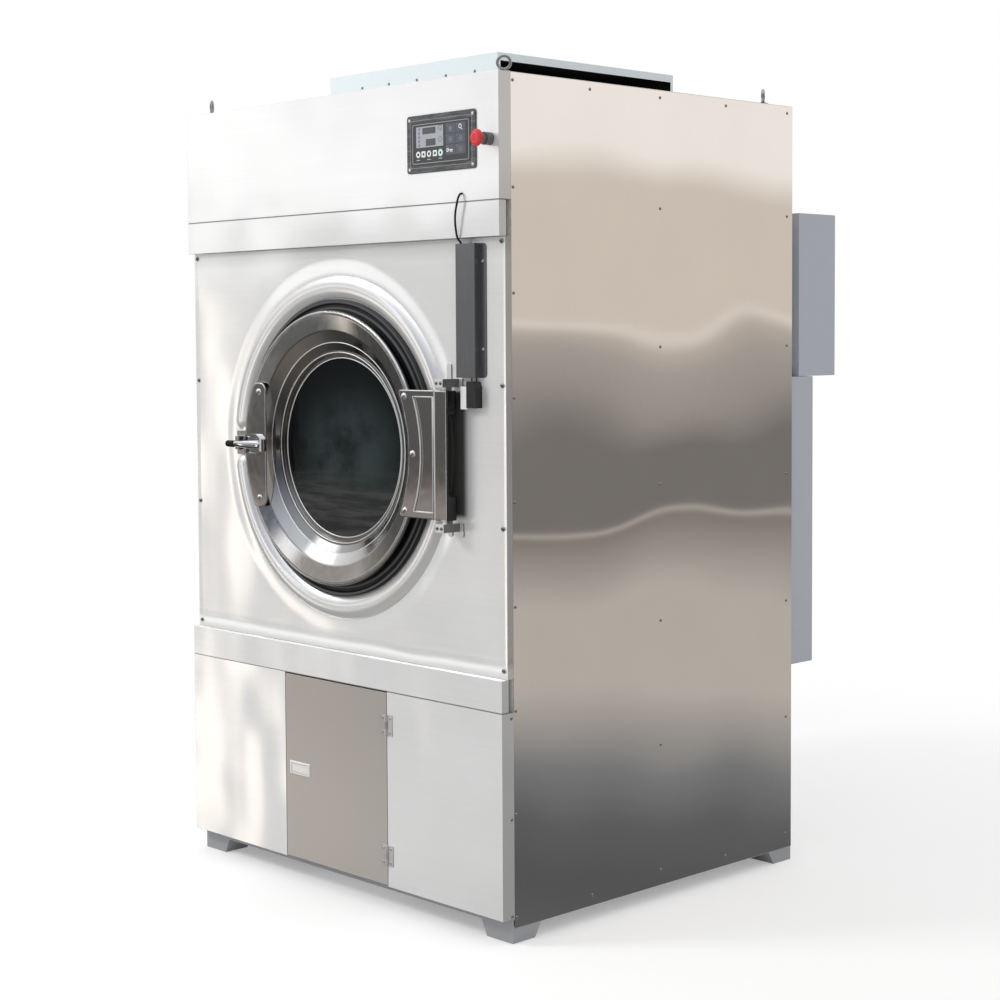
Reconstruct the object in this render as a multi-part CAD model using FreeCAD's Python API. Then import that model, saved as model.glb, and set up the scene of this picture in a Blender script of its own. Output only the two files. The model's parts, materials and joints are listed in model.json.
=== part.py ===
import FreeCAD, Part
import os
from math import asin, cos, degrees, hypot, pi, radians, sin, sqrt, tan
from FreeCAD import Vector

# Industrial tumble dryer, millimetres. +X is to the right seen from the front,
# +Y points to the back, +Z is up. The origin is on the floor, under the middle of the machine.

# Fits
seam = 0.6              # between neighbouring sheet panels
running_gap = 0.3       # between pieces that pass each other
shaft_play = 0.05       # radial play of a shaft in its bearing

# Cabinet heights, from the floor up
foot_height = 39.0
rail_height = 21.0
lower_panel_height = 496.0
lower_band_height = 79.0
door_panel_height = 1043.0
upper_band_height = 85.0
upper_panel_height = 297.0
side_panel_lift = 36.0  # lower edge of the side panels

# Cabinet plan
cabinet_width = 1254.0
cabinet_depth = 1080.0  # face of the door panel to face of the rear panel
sheet = 1.5
proud_step = 19.5       # upper panel, bands and lower panels stand ahead of the door panel
side_setback = 19.0     # side panels start behind the door panel's face
band_return = 22.0
rail_width = 50.0
rail_wall = 3.0
rail_setback = 33.0     # front rail behind the lower panels
cross_rail_x = 195.0
post_size = 40.0
post_wall = 3.0
foot_top = (110.0, 97.0)
foot_sole = (91.0, 74.0)

# Intake hood on the roof
hood_width = 670.0
hood_length = 668.0
hood_height = 100.0
hood_setback = 257.0    # behind the door panel's face
hood_lip = 20.0         # rim above the open side
hood_flange = 10.0      # rim at the front and rear of the open side

# Lifting eyes
eye_ring_radius = 15.5
eye_wire_radius = 3.5
eye_collar_radius = 14.0
eye_collar_height = 7.0
eye_shank_radius = 6.0
eye_side_inset = 40.0
eye_front_inset = 37.0
eye_rear_inset = 77.0
eye_turn = 45.0         # degrees that the rings are turned about Z, each square to the next

# Loading door, a round dished ring with a glass, on a vertical hinge at the right
door_side_room = 273.0  # door ring to the cabinet's side
door_axis_rise = 3.5    # door axis above the middle of the door panel
ring_land = 12.0        # level rim of the ring's face
ring_face_width = 52.0
ring_face_sunk = 11.0   # inner edge of the sloping face behind the rim
ring_reach = 36.0       # front of the ring ahead of the door panel
ring_sheet = 2.5
ring_edge_bend = 6.0
ring_funnel_bend = 14.0
dish_width = 56.0       # flat face to the seat of the glass, measured radially
dish_sunk = 16.0        # seat of the glass behind the door panel's face
dish_ledge_width = 6.0
dish_ledge_height = 10.0
glass_lip = 14.0
glass_thickness = 8.0
glass_lap = 8.0         # glass that the lip covers
seal_wall = 5.0
gasket_outside = 29.0   # beyond the door ring
gasket_inside = 14.0    # within the door ring
gasket_thickness = 12.0
gasket_groove = 6.0
gasket_slope = 4.0
gasket_shoulder = 10.0
bead_offset = 60.0      # middle of the half-round bead beyond the door ring
bead_width = 60.0
bead_height = 12.0
bead_end_gap = 1.3      # between the bead's ends and the latch strike
throat_offset = 7.0     # throat within the door ring
throat_wall = 3.0
throat_length = 100.0
throat_flange_width = 31.0
throat_flange_thickness = 3.0

# Door hinge
hinge_offset = 98.0     # hinge axis beyond the door ring
hinge_reach = 30.0      # axis ahead of the door panel
hinge_pin_radius = 8.0
hinge_pin_length = 50.0
hinge_collar_radius = 13.0
hinge_block_width = 30.0
hinge_block_reach = 56.0
hinge_block_height = 20.0
hinge_foot_sheet = 3.0
hinge_foot_margin = 12.0
hinge_tab_width = 16.0
hinge_tab_inset = 20.0  # middle of a tab from the hinge axis
hinge_tab_low_length = 15.0
hinge_tab_high_length = 37.0
hinge_plate_height = 312.0
hinge_block_gap = 8.0   # between the hinge plate and each block
hinge_plate_thickness = 6.0
hinge_plate_overlap = 29.0  # plate's curved left edge within the door ring
hinge_plate_corner = 8.0
hinge_pocket_offset = 16.0  # pocket's curved edge beyond the door ring
hinge_pocket_depth = 3.0
hinge_pocket_margin = 16.0
hinge_box_width = 42.0
hinge_box_side = 18.0   # hinge axis to the right face of the hinge box
hinge_box_rise = 6.0    # front of the hinge box ahead of the plate
hinge_box_depth = 32.0
hinge_box_web = 8.0     # front wall of the hinge box between its knuckles
hinge_knuckle_length = 58.0
hinge_joggle = 10.0
door_bolt_radius = 9.0
door_bolt_height = 7.0
hinge_bolt_inset = 14.0
hinge_bolt_rise = 140.0

# Door latch
latch_plate_inset = 8.0
latch_chord_inset = 99.0
latch_plate_half = 165.0
latch_plate_thickness = 4.0
latch_plate_corner = 22.0
latch_bolt_inset = 71.0
latch_bolt_rise = 141.0
latch_base_inset = 9.0
latch_base_length = 81.0
latch_base_height = 56.0
latch_base_thickness = 10.0
latch_base_rim = 5.0
latch_base_pocket = 6.0
latch_cheek = 6.0
latch_nose_radius = 10.0
handle_pivot_inset = 104.0
handle_pivot_lift = 14.0    # axis ahead of the latch plate
handle_pin_radius = 4.0
handle_boss_radius = 11.0
handle_height = 20.0
handle_root_height = 16.0
handle_thickness = 14.0
handle_lift = 6.0       # middle of the bar ahead of its pivot
handle_length = 151.0
handle_belly_height = 22.0
handle_belly_thickness = 15.0
handle_tip_height = 14.0
handle_tip_thickness = 10.0
strike_offset = 37.0    # strike beyond the door ring
strike_width = 41.0
strike_height = 64.0
strike_plate = 4.0
strike_reach = 26.0
strike_nose_height = 36.0

# Controls on the upper front panel
bezel_inset = 75.0      # from the cabinet's right side
bezel_width = 245.0
bezel_height = 139.0
bezel_lift = 76.5       # above the lower edge of the upper panel
bezel_thickness = 3.5
bezel_chamfer = 1.0
bezel_corner = 8.0
overlay_margin = 18.0
overlay_thickness = 2.0
overlay_pocket = 1.0
estop_inset = 30.0
estop_lift = 141.0
estop_reach = 50.0      # front of the head ahead of the upper panel
estop_head_radius = 20.0
estop_head_height = 16.0
estop_stem_radius = 11.0
estop_spigot_radius = 6.0
estop_spigot_length = 10.0
estop_collar_radius = 15.0
estop_collar_height = 20.0
estop_stem_back = 24.0

# Wire cover, door switch and the cable between them
cover_offset = 22.0     # beyond the hinge axis
cover_width = 66.0
cover_flange = 23.0
cover_flange_corner = 10.0
cover_rise = 187.0      # lower end above the door axis
cover_drop = 13.0       # upper end below the upper band
cover_depth = 18.0
switch_offset = 63.0
switch_width = 30.0
switch_rise = 115.0
switch_height = 63.0
switch_depth = 24.0
switch_shoulder = 12.0
switch_bracket_width = 22.0
switch_bracket_depth = 22.0
switch_bracket_sheet = 2.0
switch_bracket_drop = 3.0
wire_radius = 1.6
wire_spacing = 16.0
cable_radius = 2.5
cable_inset = 26.0      # cable hole from the left edge of the wire cover
cable_lift = 20.0       # cable hole above the lower edge of the upper panel
# Bends of the cable as (to the right, ahead of the upper panel, upwards), first from its hole,
# then from the lower edge of the upper band.
cable_bends_at_hole = (
    (0.0, -4.0, 0.0), (0.0, 6.0, 0.0), (-0.7, 14.7, -5.0), (-2.0, 19.6, -13.6), (-4.5, 20.6, -26.0),
)
cable_bends_at_band = (
    (-9.5, 20.0, 60.0), (-13.2, 17.0, 38.0), (-14.0, 11.5, 19.0), (-13.0, 5.5, -1.0),
    (-11.7, -6.0, -9.5), (-10.7, -11.0, -24.0),
)
# Bends that lead on to the door panel, as (to the right, ahead of the seat, upwards).
cable_bends_at_seat = ((-10.0, 2.2, -42.0), (-9.7, 0.3, -61.0), (-9.6, 0.0, -78.0))

# Lint door and its side panels
lint_width = 417.0
lint_gap = 1.5
lint_return = 20.0
lint_hinge_low_inset = 80.0
lint_hinge_high_inset = 84.0
lint_hinge_length = 52.0
lint_leaf_width = 22.0
lint_leaf_sheet = 2.0
lint_knuckle_radius = 4.0
lint_pin_radius = 2.0
latch_side_inset = 61.5
latch_drop = 4.0        # below the middle of the lint door
latch_bezel_width = 86.0
latch_bezel_height = 36.0
latch_bezel_rise = 3.0
latch_cup_width = 70.0
latch_cup_height = 24.0
latch_cup_depth = 16.0
latch_cup_wall = 1.5
paddle_gap = 0.6
paddle_thickness = 2.5
paddle_pin_radius = 1.5

# Drum, its housing and its bearings
drum_side_room = 102.0  # drum to the cabinet's side
drum_back_room = 242.0  # drum to the rear panel's face
drum_setback = 88.0     # front of the drum behind the door panel's face
drum_sheet = 3.0
drum_mouth_gap = 27.0   # drum mouth beyond the throat
lifter_height = 80.0
lifter_base = 90.0
lifter_top = 30.0
lifter_count = 3
lifter_sheet = 2.0
lifter_end_gap = 14.0
drum_back_sheet = 4.0
spider_arms = 6
spider_arm_thickness = 10.0
spider_arm_depth = 22.0
spider_arm_inset = 45.0
spider_hub_radius = 90.0
spider_hub_length = 30.0
shaft_radius = 40.0
housing_gap = 20.0
housing_sheet = 2.0
housing_front_gap = 18.0
housing_back_gap = 32.0
housing_inlet_margin = 32.0
housing_outlet_margin = 5.0
housing_outlet_length = 380.0
housing_hub_clearance = 10.0
beam_height = 180.0
beam_depth = 60.0
beam_wall = 5.0
beam_gap = 52.0         # behind the housing's back wall
beam_hole = 60.0
bearing_flange = 170.0
bearing_flange_thickness = 14.0
bearing_boss_radius = 70.0
bearing_boss_length = 30.0

# Belt drive
drum_pulley_radius = 150.0
motor_pulley_radius = 50.0
pulley_width = 40.0
pulley_web = 12.0
pulley_hub_radius = 62.0
groove_depth = 8.0
groove_width = 12.0
groove_spacing = 18.0
pulley_standoff = 30.0  # behind the rear panel
motor_side_room = 227.0
motor_drop = 500.0      # below the drum axis
motor_flange = 180.0
motor_flange_thickness = 12.0
gearbox_size = 150.0
gearbox_length = 110.0
motor_radius = 74.0
motor_length = 180.0
motor_shaft_radius = 20.0
motor_shaft_depth = 60.0
guard_side_inset = 15.0
guard_overhang = 90.0   # beyond the drum pulley at the left
guard_head = 170.0      # above the drum axis
guard_foot = 123.0      # below the motor axis
guard_depth = 113.0
guard_flange = 15.0

# Electrical box
box_width = 400.0
box_height = 446.0
box_gap = 1.0           # above the belt guard
box_standoff = 50.0
box_depth = 163.0
box_sheet = 2.0
box_inset = 25.0
inlet_radius = 16.0
inlet_inset = 88.0

# Heater duct between the roof and the drum housing
heater_width = 524.0
heater_length = 500.0
heater_sheet = 2.0
heater_inlet_margin = 14.0
element_radius = 8.0
element_rows = 3
element_columns = 5
element_drop = 268.5    # lowest row below the roof
element_row_pitch = 70.0

# Lint duct, exhaust blower and exhaust spigot
duct_width = 390.0
duct_setback = 25.0     # behind the door panel's face
blower_room = 390.0     # lint duct to the rear panel's face
duct_sheet = 2.0
duct_mouth_drop = 15.0  # mouth below the lint screen
screen_drop = 53.0      # below the drum housing
duct_saddle = 77.0      # duct sides above the lowest line of the housing
screen_thickness = 12.0
screen_frame = 24.0
screen_bars_across = 9
screen_bars_along = 5
screen_bar = 4.0
screen_ledge = 10.0
fan_lift = 240.0        # above the base rails
fan_inlet_radius = 140.0
scroll_small = 205.0
scroll_growth = 15.0
scroll_width = 130.0
scroll_outlet_height = 210.0
scroll_shaft_hole = 30.0
fan_radius = 165.0
fan_shroud_inner = 135.0
fan_blades = 10
fan_blade_width = 70.0
fan_blade_sheet = 3.0
fan_blade_lean = 35.0
fan_hub_radius = 28.0
fan_shaft_radius = 12.0
fan_front_gap = 32.0
fan_motor_flange = 110.0
fan_motor_flange_thickness = 10.0
fan_motor_radius = 80.0
fan_motor_length = 150.0
fan_cowl_radius = 84.0
fan_cowl_length = 40.0
fan_shaft_depth = 50.0
exhaust_width = 210.0
exhaust_side_room = 117.0
spigot_radius = 100.0
spigot_wall = 2.0
spigot_length = 60.0
spigot_flange_width = 9.0
spigot_flange_thickness = 2.0

# Depth, from the emergency stop to the electrical box, is centred on the origin
overall_depth = estop_reach + proud_step + cabinet_depth + box_standoff + box_depth
door_face = estop_reach + proud_step - overall_depth / 2
proud_face = door_face - proud_step
rear_face = door_face + cabinet_depth
rear_inside = rear_face - sheet
side_front = door_face + side_setback
rail_front = proud_face + rail_setback

# Widths and heights of the cabinet
half_width = cabinet_width / 2
inner_half = half_width - sheet
panel_bottom = foot_height + rail_height
lower_band_bottom = panel_bottom + lower_panel_height
door_panel_bottom = lower_band_bottom + lower_band_height
upper_band_bottom = door_panel_bottom + door_panel_height
upper_panel_bottom = upper_band_bottom + upper_band_height
cabinet_top = upper_panel_bottom + upper_panel_height
roof_underside = cabinet_top - sheet

# The door follows the cabinet's width and the middle of its panel
ring_radius = half_width - door_side_room
door_axis_z = door_panel_bottom + door_panel_height / 2 + door_axis_rise
ring_face_inner = ring_radius - ring_face_width
dish_inner = ring_face_inner - dish_width
bezel_inner = dish_inner - glass_lip
glass_edge = bezel_inner + glass_lap
gasket_outer = ring_radius + gasket_outside
gasket_inner = ring_radius - gasket_inside
bead_radius = ring_radius + bead_offset
throat_radius = ring_radius - throat_offset
ring_front = door_face - ring_reach
ring_face_seat = ring_front + ring_face_sunk
gasket_front = door_face - gasket_thickness
dish_seat = door_face + dish_sunk
hinge_x = ring_radius + hinge_offset
hinge_axis_y = door_face - hinge_reach
hinge_plate_low = door_axis_z - hinge_plate_height / 2
hinge_plate_high = door_axis_z + hinge_plate_height / 2
hinge_box_right = hinge_x + hinge_box_side
hinge_box_left = hinge_box_right - hinge_box_width
latch_seat = ring_front - latch_plate_thickness
latch_chord_x = latch_chord_inset - ring_radius
latch_bolt_x = latch_bolt_inset - ring_radius
latch_base_left = latch_base_inset - ring_radius
latch_base_right = latch_base_left + latch_base_length
handle_pivot_x = handle_pivot_inset - ring_radius
handle_pivot_y = latch_seat - handle_pivot_lift
handle_tip_x = handle_pivot_x - handle_length
strike_right = -ring_radius - strike_offset
strike_left = strike_right - strike_width
bead_end_rise = strike_height / 2 + bead_end_gap + bead_width / 2
bead_gap_angle = degrees(asin(bead_end_rise / bead_radius))

# Fittings at the right of the door, and the controls
cover_left = hinge_x + cover_offset
cover_right = cover_left + cover_width
cover_low = door_axis_z + cover_rise
cover_high = upper_band_bottom - cover_drop
switch_left = hinge_x + switch_offset
switch_right = switch_left + switch_width
switch_low = door_axis_z + switch_rise
switch_high = switch_low + switch_height
switch_bracket_left = switch_left - switch_bracket_width
bezel_right = half_width - bezel_inset
bezel_left = bezel_right - bezel_width
bezel_low = upper_panel_bottom + bezel_lift
bezel_high = bezel_low + bezel_height
estop_x = half_width - estop_inset
estop_z = upper_panel_bottom + estop_lift

# Lint door
lint_half = lint_width / 2
lint_axis_y = proud_face - lint_knuckle_radius
lint_hinge_heights = (panel_bottom + lint_hinge_low_inset, lower_band_bottom - lint_hinge_high_inset)
latch_x = latch_side_inset - lint_half
latch_z = (panel_bottom + lower_band_bottom) / 2 - latch_drop

# Drum and drive
drum_radius = half_width - drum_side_room
drum_length = cabinet_depth - drum_setback - drum_back_room
drum_front = door_face + drum_setback
drum_end = drum_front + drum_length
drum_mouth = throat_radius + drum_mouth_gap
housing_radius = drum_radius + housing_gap
housing_outside = housing_radius + housing_sheet
housing_front = drum_front - housing_front_gap
housing_end = drum_end + housing_back_gap
beam_front = housing_end + beam_gap
pulley_front = rear_face + pulley_standoff
motor_x = half_width - motor_side_room
motor_z = door_axis_z - motor_drop
guard_right = half_width - guard_side_inset
guard_left = -drum_pulley_radius - guard_overhang
guard_low = motor_z - guard_foot
guard_high = door_axis_z + guard_head
box_right = guard_right
box_left = box_right - box_width
box_low = guard_high + box_gap
box_high = box_low + box_height
inlet_x = box_left + inlet_inset

# Air path
hood_front = door_face + hood_setback
heater_front = hood_front + (hood_length - heater_length) / 2
element_low = roof_underside - element_drop
duct_front_y = door_face + duct_setback
duct_back_y = rear_face - blower_room
screen_z = door_axis_z - housing_outside - screen_drop
duct_mouth_top = screen_z - duct_mouth_drop
duct_side_top = door_axis_z - housing_outside + duct_saddle
fan_z = panel_bottom + fan_lift
scroll_reach = half_width - exhaust_side_room - exhaust_width
scroll_low = fan_z - scroll_small - 2 * scroll_growth
exhaust_x = -scroll_reach - exhaust_width / 2
exhaust_z = scroll_low + scroll_outlet_height / 2


# Building blocks
def box(x_low, x_high, y_low, y_high, z_low, z_high):
    corner = Vector(x_low, y_low, z_low)
    return Part.makeBox(x_high - x_low, y_high - y_low, z_high - z_low, corner)


def rod_x(y, z, radius, x_low, x_high):
    return Part.makeCylinder(radius, x_high - x_low, Vector(x_low, y, z), Vector(1, 0, 0))


def rod_y(x, z, radius, y_low, y_high):
    return Part.makeCylinder(radius, y_high - y_low, Vector(x, y_low, z), Vector(0, 1, 0))


def rod_z(x, y, radius, z_low, z_high):
    return Part.makeCylinder(radius, z_high - z_low, Vector(x, y, z_low), Vector(0, 0, 1))


def ring_y(x, z, inner, outer, y_low, y_high):
    return rod_y(x, z, outer, y_low, y_high).cut(rod_y(x, z, inner, y_low, y_high))


def polygon(points):
    return Part.Face(Part.makePolygon(points + points[:1]))


def arc(first, middle, last):
    return Part.Arc(first, middle, last).toShape()


def line(first, last):
    return Part.LineSegment(first, last).toShape()


def front_tray(x_low, x_high, z_low, z_high, front, depth):
    # A folded sheet panel: a front with a return on each of its four edges.
    outside = box(x_low, x_high, front, front + depth, z_low, z_high)
    inside = box(x_low + sheet, x_high - sheet, front + sheet, front + depth, z_low + sheet, z_high - sheet)
    return outside.cut(inside)


def square_tube(x, y, z, wall, along):
    # A hollow bar between low and high corners, open at both ends along one axis.
    spans = [x, y, z]
    inner = []
    for index, span in enumerate(spans):
        if index == along:
            inner.append(span)
        else:
            inner.append((span[0] + wall, span[1] - wall))
    return box(*x, *y, *z).cut(box(*inner[0], *inner[1], *inner[2]))


def turned(points, x, z):
    # Revolves a closed outline of (radius, y) points about the Y direction through x, z.
    face = polygon([Vector(x + radius, y, z) for radius, y in points])
    return face.revolve(Vector(x, 0, z), Vector(0, 1, 0), 360)


def about_z(shape, x, y, angle):
    copy = shape.copy()
    copy.rotate(Vector(x, y, 0), Vector(0, 0, 1), angle)
    return copy


def about_y(shape, x, z, angle):
    copy = shape.copy()
    copy.rotate(Vector(x, 0, z), Vector(0, 1, 0), angle)
    return copy


def mirrored_z(shape, z):
    return shape.mirror(Vector(0, 0, z), Vector(0, 0, 1))


def group(solids):
    return Part.makeCompound(solids)


def save(name, shape):
    shape.exportStep("parts/" + name + ".step")


# Frame, feet and posts
def base_rails():
    z_span = (foot_height, panel_bottom)
    x_span = (-inner_half, inner_half)
    side_span = (rail_front + rail_width, rear_inside - rail_width)
    rails = [
        square_tube(x_span, (rail_front, rail_front + rail_width), z_span, rail_wall, 0),
        square_tube(x_span, (rear_inside - rail_width, rear_inside), z_span, rail_wall, 0),
    ]
    for middle in (-inner_half + rail_width / 2, -cross_rail_x, cross_rail_x, inner_half - rail_width / 2):
        across = (middle - rail_width / 2, middle + rail_width / 2)
        rails.append(square_tube(across, side_span, z_span, rail_wall, 1))
    return group(rails)


def foot(x_side, y_corner, y_side):
    # A pad that narrows towards the floor on its two inner sides.
    outlines = []
    for size, z in ((foot_sole, 0), (foot_top, foot_height)):
        x_inner = x_side * (half_width - size[0])
        y_inner = y_corner + y_side * size[1]
        points = [
            Vector(x_side * inner_half, y_corner, z),
            Vector(x_inner, y_corner, z),
            Vector(x_inner, y_inner, z),
            Vector(x_side * inner_half, y_inner, z),
        ]
        outlines.append(Part.makePolygon(points + points[:1]))
    return Part.makeLoft(outlines, True, True)


def feet():
    pads = []
    for x_side in (-1, 1):
        pads.append(foot(x_side, rail_front, 1))
        pads.append(foot(x_side, rear_face, -1))
    return group(pads)


def corner_posts():
    posts = []
    for x_span in ((-inner_half, -inner_half + post_size), (inner_half - post_size, inner_half)):
        for y_low in (side_front, rear_inside - post_size):
            y_span = (y_low, y_low + post_size)
            posts.append(square_tube(x_span, y_span, (panel_bottom, roof_underside), post_wall, 2))
    return group(posts)


# Cabinet skins
def side_panel(x_low):
    return box(x_low, x_low + sheet, side_front, rear_face, side_panel_lift, roof_underside)


def rear_panel():
    panel = box(-inner_half, inner_half, rear_inside, rear_face, panel_bottom, roof_underside)
    panel = panel.cut(rod_y(0, door_axis_z, shaft_radius + housing_hub_clearance, rear_inside, rear_face))
    motor_hole = motor_shaft_radius + housing_hub_clearance
    panel = panel.cut(rod_y(motor_x, motor_z, motor_hole, rear_inside, rear_face))
    exhaust_hole = spigot_radius - spigot_wall
    return panel.cut(rod_y(exhaust_x, exhaust_z, exhaust_hole, rear_inside, rear_face))


def top_panel():
    panel = box(-half_width, half_width, side_front, rear_face, roof_underside, cabinet_top)
    half_inlet = heater_width / 2 - heater_inlet_margin
    inlet_front = heater_front + heater_inlet_margin
    inlet_back = heater_front + heater_length - heater_inlet_margin
    return panel.cut(box(-half_inlet, half_inlet, inlet_front, inlet_back, roof_underside, cabinet_top))


def upper_front_panel():
    low = upper_panel_bottom + seam
    panel = front_tray(-half_width, half_width, low, cabinet_top, proud_face, side_front - proud_face)
    stem_hole = rod_y(estop_x, estop_z, estop_stem_radius + running_gap, proud_face, proud_face + sheet)
    first = cable_route()[0]
    cable_hole = rod_y(first.x, first.z, cable_radius + running_gap, proud_face, proud_face + sheet)
    return panel.cut(stem_hole).cut(cable_hole)


def band(z_low, z_high):
    return front_tray(-half_width, half_width, z_low + seam, z_high, proud_face, band_return)


def door_panel():
    low = door_panel_bottom + seam
    panel = front_tray(-half_width, half_width, low, upper_band_bottom, door_face, side_setback)
    return panel.cut(rod_y(0, door_axis_z, throat_radius + running_gap, door_face, door_face + sheet))


def lower_panel(x_low, x_high):
    return front_tray(x_low, x_high, panel_bottom, lower_band_bottom, proud_face, side_front - proud_face)


def intake_hood():
    half = hood_width / 2
    back = hood_front + hood_length
    top = cabinet_top + hood_height
    hood = box(-half, half, hood_front, back, cabinet_top, top)
    room = half - sheet
    hood = hood.cut(box(-room, room, hood_front + sheet, back - sheet, cabinet_top, top - sheet))
    mouth = box(half - sheet, half, hood_front + hood_flange, back - hood_flange, cabinet_top, top - hood_lip)
    return hood.cut(mouth)


def lifting_eye(x, y, turn):
    ring_z = cabinet_top + eye_collar_height + eye_ring_radius + eye_wire_radius
    ring = Part.makeTorus(eye_ring_radius, eye_wire_radius, Vector(x, y, ring_z), Vector(0, 1, 0))
    collar = rod_z(x, y, eye_collar_radius, cabinet_top, cabinet_top + eye_collar_height)
    shank_top = ring_z - eye_ring_radius
    shank = rod_z(x, y, eye_shank_radius, cabinet_top + eye_collar_height, shank_top)
    return about_z(ring.fuse([collar, shank]), x, y, turn)


def lifting_eyes():
    side = half_width - eye_side_inset
    front = door_face + eye_front_inset
    back = rear_face - eye_rear_inset
    return group([
        lifting_eye(-side, front, -eye_turn),
        lifting_eye(side, front, eye_turn),
        lifting_eye(-side, back, eye_turn),
        lifting_eye(side, back, -eye_turn),
    ])


# Door surround
def dome_cap(x, z, seat, radius, height):
    # A spherical cap of the given height that stands forward of its seat.
    crown_radius = (radius * radius + height * height) / (2 * height)
    ball_y = seat + crown_radius - height
    half_angle = asin(radius / crown_radius) / 2
    rim = Vector(x + radius, seat, z)
    shoulder = Vector(x + crown_radius * sin(half_angle), ball_y - crown_radius * cos(half_angle), z)
    crown = Vector(x, seat - height, z)
    centre = Vector(x, seat, z)
    outline = Part.Wire([arc(rim, shoulder, crown), line(crown, centre), line(centre, rim)])
    return Part.Face(outline).revolve(centre, Vector(0, 1, 0), 360)


def door_bead():
    # Half-round bead, open at the latch, with a domed end each side of the gap.
    half = bead_width / 2
    flank = Vector(bead_radius - half, door_face, door_axis_z)
    crest = Vector(bead_radius, door_face - bead_height, door_axis_z)
    other_flank = Vector(bead_radius + half, door_face, door_axis_z)
    section = Part.Face(Part.Wire([arc(flank, crest, other_flank), line(other_flank, flank)]))
    bead = section.revolve(Vector(0, 0, door_axis_z), Vector(0, 1, 0), 360 - 2 * bead_gap_angle)
    bead = about_y(bead, 0, door_axis_z, 180 + bead_gap_angle)
    dome = dome_cap(bead_radius, door_axis_z, door_face, half, bead_height)
    ends = [about_y(dome, 0, door_axis_z, 180 + side * bead_gap_angle) for side in (-1, 1)]
    return bead.fuse(ends).removeSplitter()


def door_gasket():
    # A moulded ring: a land for the door's edge, a groove, and a lower shoulder outside it.
    land = ring_radius + gasket_groove
    groove_y = door_face - gasket_groove
    shoulder_y = door_face - gasket_shoulder
    outline = [
        (gasket_inner, door_face),
        (gasket_inner, gasket_front),
        (land, gasket_front),
        (land + gasket_slope, groove_y),
        (land + gasket_slope * 2, groove_y),
        (land + gasket_slope * 3, shoulder_y),
        (gasket_outer - gasket_slope, shoulder_y),
        (gasket_outer, groove_y),
        (gasket_outer, door_face),
    ]
    return turned(outline, 0, door_axis_z)


def throat_ring():
    inside = door_face + sheet
    tube = ring_y(0, door_axis_z, throat_radius - throat_wall, throat_radius, inside, inside + throat_length)
    flange_back = inside + throat_flange_thickness
    flange_radius = throat_radius + throat_flange_width
    flange = ring_y(0, door_axis_z, throat_radius, flange_radius, inside, flange_back)
    return tube.fuse(flange).removeSplitter()


# Loading door
def circles_at(shape, radius, y):
    # Round edges of a turned shape that have the given radius and place along Y.
    found = []
    for edge in shape.Edges:
        if edge.Curve.TypeId != "Part::GeomCircle":
            continue
        same_radius = abs(edge.Curve.Radius - radius) < 0.01
        same_place = abs(edge.Curve.Center.y - y) < 0.01
        if same_radius and same_place:
            found.append(edge)
    return found


def door_ring():
    # One pressed sheet: rolled edge, level rim, sloping face, dished funnel, ledge, and the lip
    # that holds the glass.
    edge_back = gasket_front - running_gap
    ledge_y = dish_seat - dish_ledge_height
    ledge_outer = dish_inner + dish_ledge_width
    land_inner = ring_radius - ring_land
    outside = [
        (ring_radius, edge_back),
        (ring_radius, ring_front),
        (land_inner, ring_front),
        (ring_face_inner, ring_face_seat),
        (ledge_outer, ledge_y),
        (dish_inner, ledge_y),
        (dish_inner, dish_seat),
        (bezel_inner, dish_seat),
    ]
    inside = [
        (bezel_inner, dish_seat + ring_sheet),
        (dish_inner + ring_sheet, dish_seat + ring_sheet),
        (dish_inner + ring_sheet, ledge_y + ring_sheet),
        (ledge_outer + ring_sheet, ledge_y + ring_sheet),
        (ring_face_inner + ring_sheet, ring_face_seat + ring_sheet),
        (land_inner, ring_front + ring_sheet),
        (ring_radius - ring_sheet, ring_front + ring_sheet),
        (ring_radius - ring_sheet, edge_back),
    ]
    ring = turned(outside + inside, 0, door_axis_z)
    ring = ring.makeFillet(ring_edge_bend, circles_at(ring, ring_radius, ring_front))
    return ring.makeFillet(ring_funnel_bend, circles_at(ring, ring_face_inner, ring_face_seat))


def glass_seal():
    front = dish_seat + ring_sheet
    back = front + glass_thickness + seal_wall
    return ring_y(0, door_axis_z, glass_edge, glass_edge + seal_wall, front, back)


def door_glass():
    front = dish_seat + ring_sheet
    return rod_y(0, door_axis_z, glass_edge, front, front + glass_thickness)


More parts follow.
